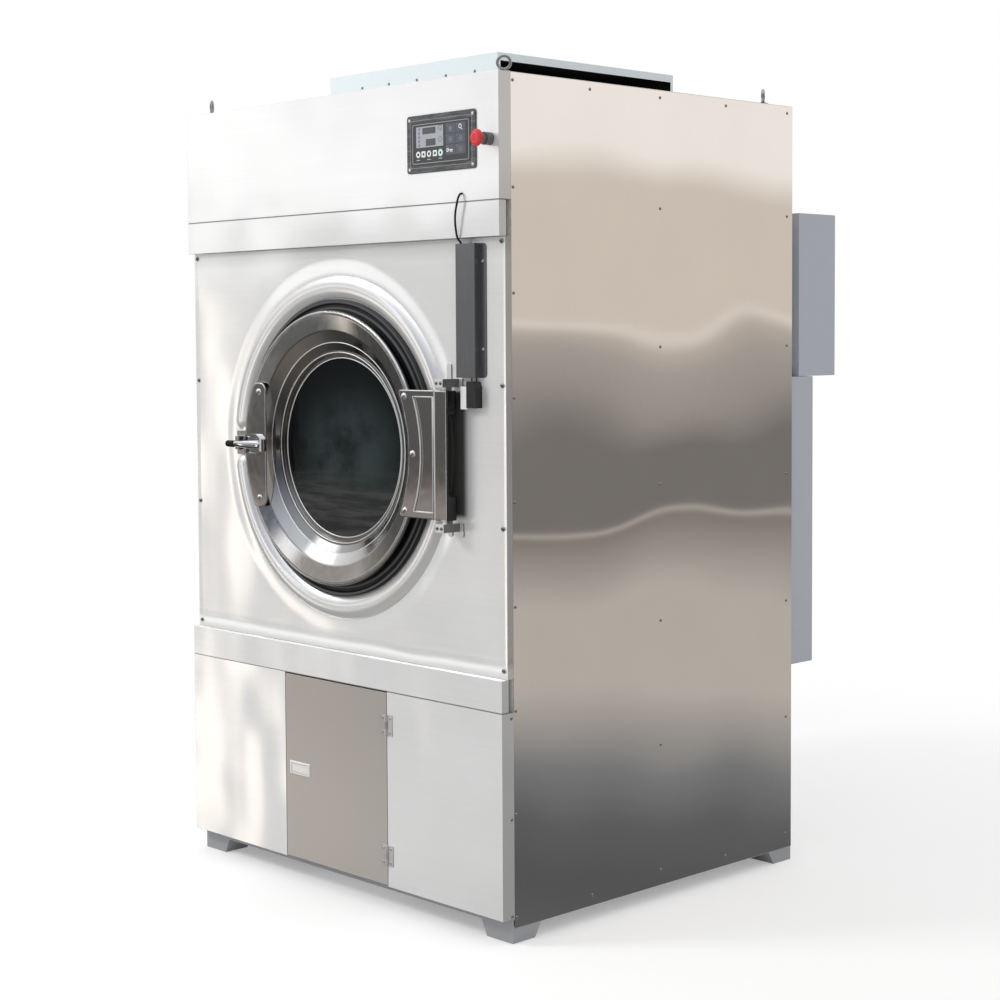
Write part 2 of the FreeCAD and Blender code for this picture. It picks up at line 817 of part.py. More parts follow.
def hinge_plate():
    # A flat plate on the ring that steps up to a box with a bored knuckle at each end.
    back = ring_front
    front = back - hinge_plate_thickness
    box_front = front - hinge_box_rise
    box_back = box_front + hinge_box_depth
    section = [
        Vector(0, back, hinge_plate_low),
        Vector(0, front, hinge_plate_low),
        Vector(hinge_box_left - hinge_joggle, front, hinge_plate_low),
        Vector(hinge_box_left, box_front, hinge_plate_low),
        Vector(hinge_box_right, box_front, hinge_plate_low),
        Vector(hinge_box_right, box_back, hinge_plate_low),
        Vector(hinge_box_left, box_back, hinge_plate_low),
        Vector(hinge_box_left, back, hinge_plate_low),
    ]
    plate = polygon(section).extrude(Vector(0, 0, hinge_plate_height))
    curved_edge = ring_radius - hinge_plate_overlap
    plate = plate.cut(rod_y(0, door_axis_z, curved_edge, box_front, box_back))
    corners = [edge for edge in plate.Edges if is_along_y(edge) and edge.BoundBox.XMax < ring_radius]
    plate = plate.makeFillet(hinge_plate_corner, corners)
    pocket_right = hinge_box_left - hinge_joggle - hinge_pocket_margin / 4
    pocket = box(
        0, pocket_right, front, front + hinge_pocket_depth,
        hinge_plate_low + hinge_pocket_margin, hinge_plate_high - hinge_pocket_margin,
    )
    pocket = pocket.cut(rod_y(0, door_axis_z, ring_radius + hinge_pocket_offset, front, back))
    relief = box(
        hinge_box_left, hinge_box_right, box_front + hinge_box_web, box_back,
        hinge_plate_low + hinge_knuckle_length, hinge_plate_high - hinge_knuckle_length,
    )
    bore = hinge_pin_radius + shaft_play
    bores = rod_z(hinge_x, hinge_axis_y, bore, hinge_plate_low, hinge_plate_high)
    return plate.cut(pocket).cut(relief).cut(bores)


def hinge_tab(x, z_block, z_end):
    # A round-ended tab of a hinge block's foot, from the block to its far end.
    radius = hinge_tab_width / 2
    back = door_face
    front = door_face - hinge_foot_sheet
    outwards = 1 if z_end > z_block else -1
    z_centre = z_end - outwards * radius
    low, high = sorted((z_block, z_centre))
    return box(x - radius, x + radius, front, back, low, high).fuse(rod_y(x, z_centre, radius, front, back))


def hinge_block(z_low, pin_up):
    # A block on its foot plate, with the pin and the thrust collar that face the hinge plate.
    half = hinge_block_width / 2
    z_high = z_low + hinge_block_height
    block = box(hinge_x - half, hinge_x + half, door_face - hinge_block_reach, door_face, z_low, z_high)
    reach = half + hinge_foot_margin
    foot_plate = box(hinge_x - reach, hinge_x + reach, door_face - hinge_foot_sheet, door_face, z_low, z_high)
    if pin_up:
        collar_span = (z_high, hinge_plate_low - running_gap)
        pin_span = (hinge_plate_low - running_gap, hinge_plate_low + hinge_pin_length)
        tab_end = z_low - hinge_tab_low_length
        tabs = [hinge_tab(hinge_x + side * hinge_tab_inset, z_low, tab_end) for side in (-1, 1)]
    else:
        collar_span = (hinge_plate_high + running_gap, z_low)
        pin_span = (hinge_plate_high - hinge_pin_length, hinge_plate_high + running_gap)
        tabs = [hinge_tab(hinge_x - hinge_tab_inset, z_high, z_high + hinge_tab_high_length)]
    collar = rod_z(hinge_x, hinge_axis_y, hinge_collar_radius, *collar_span)
    pin = rod_z(hinge_x, hinge_axis_y, hinge_pin_radius, *pin_span)
    return block.fuse([foot_plate, collar, pin] + tabs).removeSplitter()


def hinge_blocks():
    lower = hinge_block(hinge_plate_low - hinge_block_gap - hinge_block_height, True)
    upper = hinge_block(hinge_plate_high + hinge_block_gap, False)
    return group([lower, upper])


def dome_bolt(x, z, seat):
    return dome_cap(x, z, seat, door_bolt_radius, door_bolt_height)


def door_bolts():
    hinge_seat = ring_front - hinge_plate_thickness
    hinge_bolt_circle = ring_radius - hinge_bolt_inset
    high_x = sqrt(hinge_bolt_circle ** 2 - hinge_bolt_rise ** 2)
    bolts = [
        dome_bolt(hinge_bolt_circle, door_axis_z, hinge_seat),
        dome_bolt(high_x, door_axis_z + hinge_bolt_rise, hinge_seat),
        dome_bolt(high_x, door_axis_z - hinge_bolt_rise, hinge_seat),
        dome_bolt(latch_bolt_x, door_axis_z + latch_bolt_rise, latch_seat),
        dome_bolt(latch_bolt_x, door_axis_z - latch_bolt_rise, latch_seat),
    ]
    return group(bolts)


def latch_plate():
    # A segment of a disc whose straight edge crosses the dish.
    radius = ring_radius - latch_plate_inset
    plate = rod_y(0, door_axis_z, radius, latch_seat, ring_front)
    low = door_axis_z - latch_plate_half
    high = door_axis_z + latch_plate_half
    plate = plate.common(box(-radius, latch_chord_x, latch_seat, ring_front, low, high))
    upright = [edge for edge in plate.Edges if is_along_y(edge)]
    return plate.makeFillet(latch_plate_corner, upright)


def is_along_y(edge):
    if edge.Curve.TypeId != "Part::GeomLine":
        return False
    return abs(edge.Curve.Direction.y) > 0.99


def latch_base():
    # An oval escutcheon with a sunk middle, and two cheeks that carry the handle's pin.
    seat = latch_seat
    front = seat - latch_base_thickness
    radius = latch_base_height / 2
    left = latch_base_left + radius
    right = latch_base_right - radius
    base = stadium(left, right, radius, front, seat)
    base = base.cut(stadium(left, right, radius - latch_base_rim, front, front + latch_base_pocket))
    axis_y = handle_pivot_y
    inner = handle_height / 2 + running_gap
    cheek = box(latch_base_right - radius, handle_pivot_x, front, seat, 0, latch_cheek)
    nose = rod_z(handle_pivot_x, axis_y, latch_nose_radius, 0, latch_cheek)
    cheek = cheek.fuse(nose).removeSplitter()
    upper = cheek.translated(Vector(0, 0, door_axis_z + inner))
    lower = cheek.translated(Vector(0, 0, door_axis_z - inner - latch_cheek))
    pin_low = door_axis_z - inner - latch_cheek
    pin_high = door_axis_z + inner + latch_cheek
    pin = rod_z(handle_pivot_x, axis_y, handle_pin_radius, pin_low, pin_high)
    return base.fuse([upper, lower, pin]).removeSplitter()


def stadium(left, right, radius, y_low, y_high):
    middle = box(left, right, y_low, y_high, door_axis_z - radius, door_axis_z + radius)
    ends = [rod_y(x, door_axis_z, radius, y_low, y_high) for x in (left, right)]
    return middle.fuse(ends).removeSplitter()


def oval(x, height, thickness):
    # An upright ellipse across the lever at the given place along it.
    centre = Vector(x, handle_pivot_y - handle_lift, door_axis_z)
    crest = centre + Vector(0, 0, height / 2)
    flank = centre + Vector(0, thickness / 2, 0)
    return Part.Wire([Part.Ellipse(crest, flank, centre).toShape()])


def handle_lever():
    # A bulged oval bar from the pivot boss to the slim tip, which carries the grip.
    sections = [
        oval(handle_pivot_x, handle_root_height, handle_thickness),
        oval(handle_pivot_x - handle_length * 0.33, handle_belly_height, handle_belly_thickness),
        oval(handle_pivot_x - handle_length * 0.66, handle_root_height, handle_thickness),
        oval(handle_pivot_x - handle_length * 0.81, handle_tip_height, handle_tip_thickness),
        oval(handle_tip_x, handle_tip_height, handle_tip_thickness),
    ]
    bar = Part.makeLoft(sections, True, False)
    low = door_axis_z - handle_height / 2
    boss = rod_z(handle_pivot_x, handle_pivot_y, handle_boss_radius, low, low + handle_height)
    bore = rod_z(handle_pivot_x, handle_pivot_y, handle_pin_radius + shaft_play, low, low + handle_height)
    return bar.fuse(boss).removeSplitter().cut(bore)


def latch_strike():
    low = door_axis_z - strike_height / 2
    plate = box(strike_left, strike_right, door_face - strike_plate, door_face, low, low + strike_height)
    nose_front = door_face - strike_reach
    nose_back = door_face - strike_plate
    middle = (strike_left + strike_right) / 2
    outline = [
        Vector(strike_left + strike_plate, nose_back, door_axis_z - strike_nose_height / 2),
        Vector(middle, nose_front, door_axis_z - strike_nose_height / 2),
        Vector(strike_right - strike_plate, nose_front, door_axis_z - strike_nose_height / 2),
        Vector(strike_right - strike_plate, nose_back, door_axis_z - strike_nose_height / 2),
    ]
    nose = polygon(outline).extrude(Vector(0, 0, strike_nose_height))
    return plate.fuse(nose).removeSplitter()


# Controls
def control_bezel():
    bezel = box(bezel_left, bezel_right, proud_face - bezel_thickness, proud_face, bezel_low, bezel_high)
    bezel = bezel.makeFillet(bezel_corner, [edge for edge in bezel.Edges if is_along_y(edge)])
    front_edges = [edge for edge in bezel.Edges if edge.BoundBox.YMax < proud_face - bezel_thickness / 2]
    bezel = bezel.makeChamfer(bezel_chamfer, front_edges)
    front = proud_face - bezel_thickness
    pocket = box(
        bezel_left + overlay_margin, bezel_right - overlay_margin, front, front + overlay_pocket,
        bezel_low + overlay_margin, bezel_high - overlay_margin,
    )
    return bezel.cut(pocket)


def control_overlay():
    back = proud_face - bezel_thickness + overlay_pocket
    return box(
        bezel_left + overlay_margin, bezel_right - overlay_margin, back - overlay_thickness, back,
        bezel_low + overlay_margin, bezel_high - overlay_margin,
    )


def estop_collar():
    front = proud_face - estop_collar_height
    return ring_y(estop_x, estop_z, estop_stem_radius + shaft_play, estop_collar_radius, front, proud_face)


def estop_stem():
    head_back = proud_face - estop_reach + estop_head_height
    shoulder = head_back + running_gap
    stem = rod_y(estop_x, estop_z, estop_stem_radius, shoulder, proud_face + estop_stem_back)
    spigot_front = head_back - estop_spigot_length
    spigot = rod_y(estop_x, estop_z, estop_spigot_radius, spigot_front, shoulder)
    return stem.fuse(spigot).removeSplitter()


def estop_head():
    # A mushroom with a domed face and a waisted back.
    front = proud_face - estop_reach
    back = front + estop_head_height
    outline = [
        (0, front),
        (estop_head_radius * 0.55, front + estop_head_height * 0.05),
        (estop_head_radius * 0.86, front + estop_head_height * 0.17),
        (estop_head_radius, front + estop_head_height * 0.36),
        (estop_head_radius, front + estop_head_height * 0.56),
        (estop_head_radius * 0.72, back),
        (0, back),
    ]
    head = turned(outline, estop_x, estop_z)
    socket_front = back - estop_spigot_length - running_gap
    return head.cut(rod_y(estop_x, estop_z, estop_spigot_radius + shaft_play, socket_front, back))


# Wire cover, switch and cable
def wire_cover():
    front = door_face - cover_depth
    cover = box(cover_left, cover_right, front, door_face, cover_low, cover_high)
    room_left = cover_left + sheet
    room_right = cover_right - sheet
    cover = cover.cut(box(room_left, room_right, front + sheet, door_face, cover_low, cover_high))
    flange_right = cover_right + cover_flange
    flange = box(cover_right, flange_right, door_face - sheet, door_face, cover_low, cover_high)
    corners = [edge for edge in flange.Edges if is_along_y(edge) and edge.BoundBox.XMin > cover_right]
    flange = flange.makeFillet(cover_flange_corner, corners)
    return cover.fuse(flange).removeSplitter()


def door_switch():
    front = door_face - switch_depth
    outline = [
        Vector(switch_left, front, switch_low),
        Vector(switch_right, front, switch_low),
        Vector(switch_right, front, switch_high - switch_shoulder),
        Vector(switch_right - switch_shoulder / 2, front, switch_high),
        Vector(switch_left, front, switch_high),
    ]
    body = polygon(outline).extrude(Vector(0, switch_depth, 0))
    hole_low = switch_high - switch_shoulder
    for x in wire_places():
        body = body.cut(rod_z(x, wire_y(), wire_radius + running_gap, hole_low, switch_high))
    return body


def switch_bracket():
    low = switch_low - switch_bracket_drop
    high = switch_high - switch_shoulder
    front = door_face - switch_bracket_depth
    plate = box(switch_bracket_left, switch_left, front, front + switch_bracket_sheet, low, high)
    web = box(switch_left - switch_bracket_sheet, switch_left, front, door_face, low, high)
    foot_plate = box(
        switch_bracket_left, switch_left, door_face - switch_bracket_sheet, door_face, low, high,
    )
    return plate.fuse([web, foot_plate]).removeSplitter()


def wire_places():
    middle = (switch_left + cover_right) / 2
    return (middle - wire_spacing / 2, middle + wire_spacing / 2)


def wire_y():
    return door_face - cover_depth / 2


def cable_route():
    # Out of the hole in the upper panel, down past the band, and into the wire cover
    # until it lies against the door panel.
    x_hole = cover_left + cable_inset
    z_hole = upper_panel_bottom + cable_lift
    seat = door_face - cable_radius - running_gap
    points = []
    for right, ahead, up in cable_bends_at_hole:
        points.append(Vector(x_hole + right, proud_face - ahead, z_hole + up))
    for right, ahead, up in cable_bends_at_band:
        points.append(Vector(x_hole + right, proud_face - ahead, upper_band_bottom + up))
    for right, ahead, up in cable_bends_at_seat:
        points.append(Vector(x_hole + right, seat - ahead, upper_band_bottom + up))
    return points


def tube_along(points, radius):
    # Straight runs joined by arcs that are as large as the runs allow.
    edges = []
    start = points[0]
    tightest = None
    for before, corner, after in zip(points, points[1:], points[2:]):
        into = corner - before
        out = after - corner
        turn = into.getAngle(out)
        cut_back = 0.45 * min(into.Length, out.Length)
        bend_radius = cut_back / tan(turn / 2)
        tightest = bend_radius if tightest is None else min(tightest, bend_radius)
        entry = corner - Vector(into).normalize() * cut_back
        leave = corner + Vector(out).normalize() * cut_back
        chord_middle = (entry + leave) * 0.5
        to_corner = Vector(corner - chord_middle).normalize()
        middle = chord_middle + to_corner * (bend_radius * (1 - cos(turn / 2)))
        edges.append(line(start, entry))
        edges.append(arc(entry, middle, leave))
        start = leave
    edges.append(line(start, points[-1]))
    path = Part.Wire(edges)
    first_direction = points[1] - points[0]
    section = Part.Wire([Part.makeCircle(radius, points[0], first_direction)])
    tube = path.makePipeShell([section], True, True)
    full = tube.Volume / (pi * radius * radius * path.Length)
    print("cable length %.1f, tightest bend %.1f, volume ratio %.4f" % (path.Length, tightest, full))
    return tube


def door_cable():
    solids = [tube_along(cable_route(), cable_radius)]
    low = switch_high - switch_shoulder
    for x in wire_places():
        solids.append(rod_z(x, wire_y(), wire_radius, low, cover_low + switch_shoulder))
    return group(solids)


# Lint door
def lint_leaf(side, z_low, z_high):
    # A leaf screwed to the front of a panel, running up to the knuckle.
    x_near = lint_half + side * lint_knuckle_radius * 0.5
    x_far = lint_half + side * lint_leaf_width
    low, high = sorted((x_near, x_far))
    return box(low, high, proud_face - lint_leaf_sheet, proud_face, z_low, z_high)


def lint_hinge_leaves():
    leaves = []
    third = lint_hinge_length / 3
    for middle in lint_hinge_heights:
        low = middle - lint_hinge_length / 2
        high = middle + lint_hinge_length / 2
        leaf = lint_leaf(1, low, high)
        leaf = leaf.cut(rod_z(lint_half, lint_axis_y, lint_knuckle_radius + running_gap, low, high))
        for z_low in (low, high - third):
            tab = lint_leaf(1, z_low, z_low + third)
            leaf = leaf.fuse([rod_z(lint_half, lint_axis_y, lint_knuckle_radius, z_low, z_low + third), tab])
        leaf = leaf.fuse(rod_z(lint_half, lint_axis_y, lint_pin_radius, low, high))
        leaves.append(leaf.removeSplitter())
    return group(leaves)


def lint_door():
    left = -lint_half + lint_gap
    right = lint_half - lint_gap
    low = panel_bottom + lint_gap * 2
    high = lower_band_bottom - lint_gap * 2
    door = front_tray(left, right, low, high, proud_face, lint_return)
    cup_x = latch_cup_width / 2 + latch_cup_wall
    cup_z = latch_cup_height / 2 + latch_cup_wall
    door = door.cut(box(
        latch_x - cup_x, latch_x + cup_x, proud_face, proud_face + sheet,
        latch_z - cup_z, latch_z + cup_z,
    ))
    third = lint_hinge_length / 3
    for middle in lint_hinge_heights:
        low = middle - third / 2 + running_gap
        high = middle + third / 2 - running_gap
        leaf = lint_leaf(-1, middle - lint_hinge_length / 2, middle + lint_hinge_length / 2)
        relief = lint_knuckle_radius + running_gap
        span = (middle - lint_hinge_length / 2, middle + lint_hinge_length / 2)
        leaf = leaf.cut(rod_z(lint_half, lint_axis_y, relief, *span))
        knuckle = rod_z(lint_half, lint_axis_y, lint_knuckle_radius, low, high)
        tab = lint_leaf(-1, low, high)
        bore = rod_z(lint_half, lint_axis_y, lint_pin_radius + shaft_play, low, high)
        door = door.fuse([leaf, knuckle, tab]).cut(bore)
    return door.removeSplitter()


def latch_bezel():
    # A stamped frame round a cup that is sunk through the lint door.
    half_x = latch_bezel_width / 2
    half_z = latch_bezel_height / 2
    cup_x = latch_cup_width / 2
    cup_z = latch_cup_height / 2
    front = proud_face - latch_bezel_rise
    cup_back = proud_face + latch_cup_depth
    rim = box(latch_x - half_x, latch_x + half_x, front, proud_face, latch_z - half_z, latch_z + half_z)
    front_edges = [edge for edge in rim.Edges if edge.BoundBox.YMax < proud_face - latch_bezel_rise / 2]
    rim = rim.makeChamfer(latch_bezel_rise * 0.8, front_edges)
    outer_x = cup_x + latch_cup_wall - running_gap
    outer_z = cup_z + latch_cup_wall - running_gap
    cup = box(
        latch_x - outer_x, latch_x + outer_x, proud_face, cup_back,
        latch_z - outer_z, latch_z + outer_z,
    )
    hollow_back = cup_back - latch_cup_wall
    hollow = box(latch_x - cup_x, latch_x + cup_x, front, hollow_back, latch_z - cup_z, latch_z + cup_z)
    bezel = rim.fuse(cup).cut(hollow)
    pin = rod_x(paddle_axis_y(), paddle_axis_z(), paddle_pin_radius, latch_x - cup_x, latch_x + cup_x)
    return bezel.fuse(pin).removeSplitter()


def paddle_axis_y():
    return proud_face - latch_bezel_rise / 2 + paddle_thickness


def paddle_axis_z():
    return latch_z + latch_cup_height / 2 - paddle_gap - paddle_thickness


def latch_paddle():
    # A flap that fills the cup's mouth and turns out about a pin at its upper edge.
    half_x = latch_cup_width / 2 - paddle_gap
    low = latch_z - latch_cup_height / 2 + paddle_gap
    axis_y = paddle_axis_y()
    axis_z = paddle_axis_z()
    front = proud_face - latch_bezel_rise / 2
    flap = box(latch_x - half_x, latch_x + half_x, front, front + paddle_thickness, low, axis_z)
    barrel = rod_x(axis_y, axis_z, paddle_thickness, latch_x - half_x, latch_x + half_x)
    paddle = flap.fuse(barrel).removeSplitter()
    bore = rod_x(axis_y, axis_z, paddle_pin_radius + shaft_play, latch_x - half_x, latch_x + half_x)
    return paddle.cut(bore)


# Drum
def drum_shell():
    shell = ring_y(0, door_axis_z, drum_radius - drum_sheet, drum_radius, drum_front, drum_end)
    front = ring_y(0, door_axis_z, drum_mouth, drum_radius - drum_sheet, drum_front, drum_front + drum_sheet)
    return shell.fuse(front).removeSplitter()


def lifter_solid(wall):
    half_base = lifter_base / 2
    inside = drum_radius - drum_sheet
    seat = door_axis_z - sqrt(inside * inside - half_base * half_base) + running_gap
    low = drum_front + drum_sheet + lifter_end_gap + wall
    length = drum_end - lifter_end_gap - wall - low
    slope = (lifter_base - lifter_top) / 2 / lifter_height
    side_wall = wall * hypot(1, slope)
    half_top = lifter_top / 2 - side_wall + slope * wall
    outline = [
        Vector(-half_base + side_wall, low, seat),
        Vector(half_base - side_wall, low, seat),
        Vector(half_top, low, seat + lifter_height - wall),
        Vector(-half_top, low, seat + lifter_height - wall),
    ]
    return polygon(outline).extrude(Vector(0, length, 0))


def drum_lifters():
    # Folded sheet ribs along the drum, wide at the shell and narrow at the crest.
    lifter = lifter_solid(0).cut(lifter_solid(lifter_sheet))
    step = 360.0 / lifter_count
    return group([about_y(lifter, 0, door_axis_z, index * step) for index in range(lifter_count)])


def drum_spider():
    # Back plate, arms, hub and the shaft that carries the drum.
    plate_back = drum_end + drum_back_sheet
    plate = rod_y(0, door_axis_z, drum_radius, drum_end, plate_back)
    hub = rod_y(0, door_axis_z, spider_hub_radius, plate_back, plate_back + spider_hub_length)
    half = spider_arm_thickness / 2
    outline = [
        Vector(0, plate_back, door_axis_z - half),
        Vector(drum_radius - spider_arm_inset, plate_back, door_axis_z - half),
        Vector(spider_hub_radius, plate_back + spider_arm_depth, door_axis_z - half),
        Vector(0, plate_back + spider_arm_depth, door_axis_z - half),
    ]
    arm = polygon(outline).extrude(Vector(0, 0, spider_arm_thickness))
    step = 360.0 / spider_arms
    arms = [about_y(arm, 0, door_axis_z, index * step) for index in range(spider_arms)]
    shaft_end = pulley_front + pulley_width
    shaft = rod_y(0, door_axis_z, shaft_radius, plate_back + spider_hub_length, shaft_end)
    return plate.fuse([hub, shaft] + arms).removeSplitter()


def drum_housing():
    # A fixed casing round the drum, with an air inlet on top and an outlet below.
    casing = ring_y(0, door_axis_z, housing_radius, housing_outside, housing_front, housing_end)
    mouth = throat_radius + running_gap
    front = ring_y(0, door_axis_z, mouth, housing_outside, housing_front - housing_sheet, housing_front)
    hub_hole = spider_hub_radius + housing_hub_clearance
    back = ring_y(0, door_axis_z, hub_hole, housing_outside, housing_end, housing_end + housing_sheet)
    casing = casing.fuse([front, back]).removeSplitter()
    inlet_half = heater_width / 2 - housing_inlet_margin
    inlet_front = heater_front + housing_inlet_margin
    inlet_back = heater_front + heater_length - housing_inlet_margin
    inlet = box(-inlet_half, inlet_half, inlet_front, inlet_back, door_axis_z, door_axis_z + housing_outside)
    outlet_half = duct_width / 2 - duct_sheet * 2 - housing_outlet_margin
    outlet_front = (duct_front_y + duct_back_y - housing_outlet_length) / 2
    outlet_back = outlet_front + housing_outlet_length
    outlet = box(
        -outlet_half, outlet_half, outlet_front, outlet_back,
        door_axis_z - housing_outside, door_axis_z,
    )
    inner_room = rod_y(0, door_axis_z, housing_radius / 2, housing_front, housing_end)
    return casing.cut(inlet.cut(inner_room)).cut(outlet.cut(inner_room))


# Bearings and drive
def rear_beam():
    low = door_axis_z - beam_height / 2
    span = (-inner_half + post_size, inner_half - post_size)
    beam = square_tube(span, (beam_front, beam_front + beam_depth), (low, low + beam_height), beam_wall, 0)
    beam = beam.cut(rod_y(0, door_axis_z, beam_hole, beam_front, beam_front + beam_depth))
    ears = []
    for x in (span[0], span[1] - post_size):
        ear_y = (beam_front + beam_depth, rear_inside)
        ears.append(square_tube((x, x + post_size), ear_y, (low, low + beam_height), beam_wall, 2))
    return beam.fuse(ears).removeSplitter()


def bearing_housings():
    half = bearing_flange / 2
    housings = []
    for face, direction in ((beam_front, -1), (beam_front + beam_depth, 1)):
        flange_end = face + direction * bearing_flange_thickness
        boss_end = face + direction * (bearing_flange_thickness + bearing_boss_length)
        flange_span = sorted((face, flange_end))
        boss_span = sorted((flange_end, boss_end))
        whole_span = sorted((face, boss_end))
        flange = box(-half, half, *flange_span, door_axis_z - half, door_axis_z + half)
        boss = rod_y(0, door_axis_z, bearing_boss_radius, *boss_span)
        bore = rod_y(0, door_axis_z, shaft_radius + shaft_play, *whole_span)
        housings.append(flange.fuse(boss).removeSplitter().cut(bore))
    return group(housings)


def pulley(x, z, radius, bore_radius):
    # A two-groove pulley rim on a web, with a hub when the rim is large.
    front = pulley_front
    back = front + pulley_width
    middle = (front + back) / 2
    wheel = rod_y(x, z, radius, front, back)
    for offset in (-groove_spacing / 2, groove_spacing / 2):
        low = middle + offset - groove_width / 2
        wheel = wheel.cut(ring_y(x, z, radius - groove_depth, radius + groove_depth, low, low + groove_width))
    return wheel.cut(rod_y(x, z, bore_radius, front, back)) if bore_radius else wheel


def drum_pulley():
    wheel = pulley(0, door_axis_z, drum_pulley_radius, shaft_radius)
    rim_inner = drum_pulley_radius - groove_depth * 2
    dish_depth = (pulley_width - pulley_web) / 2
    back = pulley_front + pulley_width
    for low, high in ((pulley_front, pulley_front + dish_depth), (back - dish_depth, back)):
        wheel = wheel.cut(ring_y(0, door_axis_z, pulley_hub_radius, rim_inner, low, high))
    return wheel


def motor_pulley():
    wheel = pulley(motor_x, motor_z, motor_pulley_radius, 0)
    shaft = rod_y(motor_x, motor_z, motor_shaft_radius, rear_inside - motor_shaft_depth, pulley_front)
    return wheel.fuse(shaft).removeSplitter()


def belt_face(radius_difference, y):
    # The outline round both pulleys: two arcs and the two tangents between them.
    drum_r = drum_pulley_radius + radius_difference
    motor_r = motor_pulley_radius + radius_difference
    across = Vector(motor_x, 0, motor_z - door_axis_z)
    distance = across.Length
    towards = Vector(across).normalize()
    side = Vector(-towards.z, 0, towards.x)
    lean = asin((drum_r - motor_r) / distance)
    centre = Vector(0, y, door_axis_z)
    motor_centre = Vector(motor_x, y, motor_z)
    upper = towards * sin(lean) + side * cos(lean)
    lower = towards * sin(lean) - side * cos(lean)
    edges = [
        arc(centre + lower * drum_r, centre - towards * drum_r, centre + upper * drum_r),
        line(centre + upper * drum_r, motor_centre + upper * motor_r),
        arc(motor_centre + upper * motor_r, motor_centre + towards * motor_r, motor_centre + lower * motor_r),
        line(motor_centre + lower * motor_r, centre + lower * drum_r),
    ]
    return Part.Face(Part.Wire(edges))


def drive_belts():
    middle = pulley_front + pulley_width / 2
    belts = []
    for offset in (-groove_spacing / 2, groove_spacing / 2):
        low = middle + offset - groove_width / 2 + running_gap
        width = groove_width - 2 * running_gap
        outside = belt_face(0, low).extrude(Vector(0, width, 0))
        inside = belt_face(-groove_depth + running_gap, low).extrude(Vector(0, width, 0))
        belts.append(outside.cut(inside))
    return group(belts)


def gearmotor():
    half = motor_flange / 2
    flange_front = rear_inside - motor_flange_thickness
    flange = box(motor_x - half, motor_x + half, flange_front, rear_inside, motor_z - half, motor_z + half)
    box_half = gearbox_size / 2
    box_front = flange_front - gearbox_length
    gearbox = box(
        motor_x - box_half, motor_x + box_half, box_front, flange_front,
        motor_z - box_half, motor_z + box_half,
    )
    motor = rod_y(motor_x, motor_z, motor_radius, box_front - motor_length, box_front)
    body = flange.fuse([gearbox, motor]).removeSplitter()
    bore = motor_shaft_radius + shaft_play
    return body.cut(rod_y(motor_x, motor_z, bore, rear_inside - motor_shaft_depth - running_gap, rear_inside))


def belt_guard():
    back = rear_face + guard_depth
    guard = box(guard_left, guard_right, rear_face, back, guard_low, guard_high)
    guard = guard.cut(box(
        guard_left + sheet, guard_right - sheet, rear_face, back - sheet,
        guard_low + sheet, guard_high - sheet,
    ))
    flange = box(
        guard_left - guard_flange, guard_left, rear_face, rear_face + sheet, guard_low, guard_high,
    )
    lower_flange = box(
        guard_left - guard_flange, guard_right, rear_face, rear_face + sheet,
        guard_low - guard_flange, guard_low,
    )
    return guard.fuse([flange, lower_flange]).removeSplitter()


def electrical_box():
    # A sheet enclosure on a smaller standoff frame.
    front = rear_face + box_standoff
    back = front + box_depth
    shell = box(box_left, box_right, front, back, box_low, box_high)
    plinth = box(
        box_left + box_inset, box_right - box_inset, rear_face, front,
        box_low + box_inset, box_high - box_inset,
    )
    shell = shell.fuse(plinth).removeSplitter()
    inner = box(
        box_left + box_sheet, box_right - box_sheet, front + box_sheet, back - box_sheet,
        box_low + box_sheet, box_high - box_sheet,
    )
    inner_plinth = box(
        box_left + box_inset + box_sheet, box_right - box_inset - box_sheet, rear_face, front + box_sheet,
        box_low + box_inset + box_sheet, box_high - box_inset - box_sheet,
    )
    shell = shell.cut(inner).cut(inner_plinth)
    inlet_y = (rear_face + guard_depth + back) / 2
    return shell.cut(rod_z(inlet_x, inlet_y, inlet_radius, box_low, box_low + box_sheet))


# Heater
def heater_bank():
    # A duct from the roof opening down to the drum housing, crossed by heating rods.
    half = heater_width / 2
    back = heater_front + heater_length
    top = roof_underside
    low = door_axis_z
    duct = box(-half, half, heater_front, back, low, top)
    inner = half - heater_sheet
    duct = duct.cut(box(-inner, inner, heater_front + heater_sheet, back - heater_sheet, low, top))
    clearance = rod_y(0, door_axis_z, housing_outside + running_gap, heater_front, back)
    duct = duct.cut(clearance)
    duct = [solid for solid in duct.Solids if solid.BoundBox.ZMax > top - heater_sheet][0]
    rods = []
    for row in range(element_rows):
        for column in range(element_columns):
            y = heater_front + heater_length * (column + 1) / (element_columns + 1)
            rods.append(rod_x(y, element_low + row * element_row_pitch, element_radius, -half, half))
    return duct.fuse(rods).removeSplitter()


# Lint duct, blower and exhaust
def lint_duct():
    # A box under the drum housing, open at the front behind the lint door.
    half = duct_width / 2
    duct = box(-half, half, duct_front_y, duct_back_y, panel_bottom, duct_side_top)
    inner = half - duct_sheet
    duct = duct.cut(box(
        -inner, inner, duct_front_y + duct_sheet, duct_back_y - duct_sheet,
        panel_bottom + duct_sheet, duct_side_top,
    ))
    mouth_low = panel_bottom + duct_sheet
    duct = duct.cut(box(-inner, inner, duct_front_y, duct_front_y + duct_sheet, mouth_low, duct_mouth_top))
    duct = duct.cut(rod_y(0, door_axis_z, housing_outside + running_gap, duct_front_y, duct_back_y))
    duct = duct.cut(rod_y(0, fan_z, fan_inlet_radius, duct_back_y - duct_sheet, duct_back_y))
    ledge_low = screen_z - duct_sheet
    ledge_span = (duct_front_y + duct_sheet, duct_back_y - duct_sheet)
    ledges = []
    for side in (-inner, inner - screen_ledge):
        ledges.append(box(side, side + screen_ledge, *ledge_span, ledge_low, screen_z))
    return duct.fuse(ledges).removeSplitter()


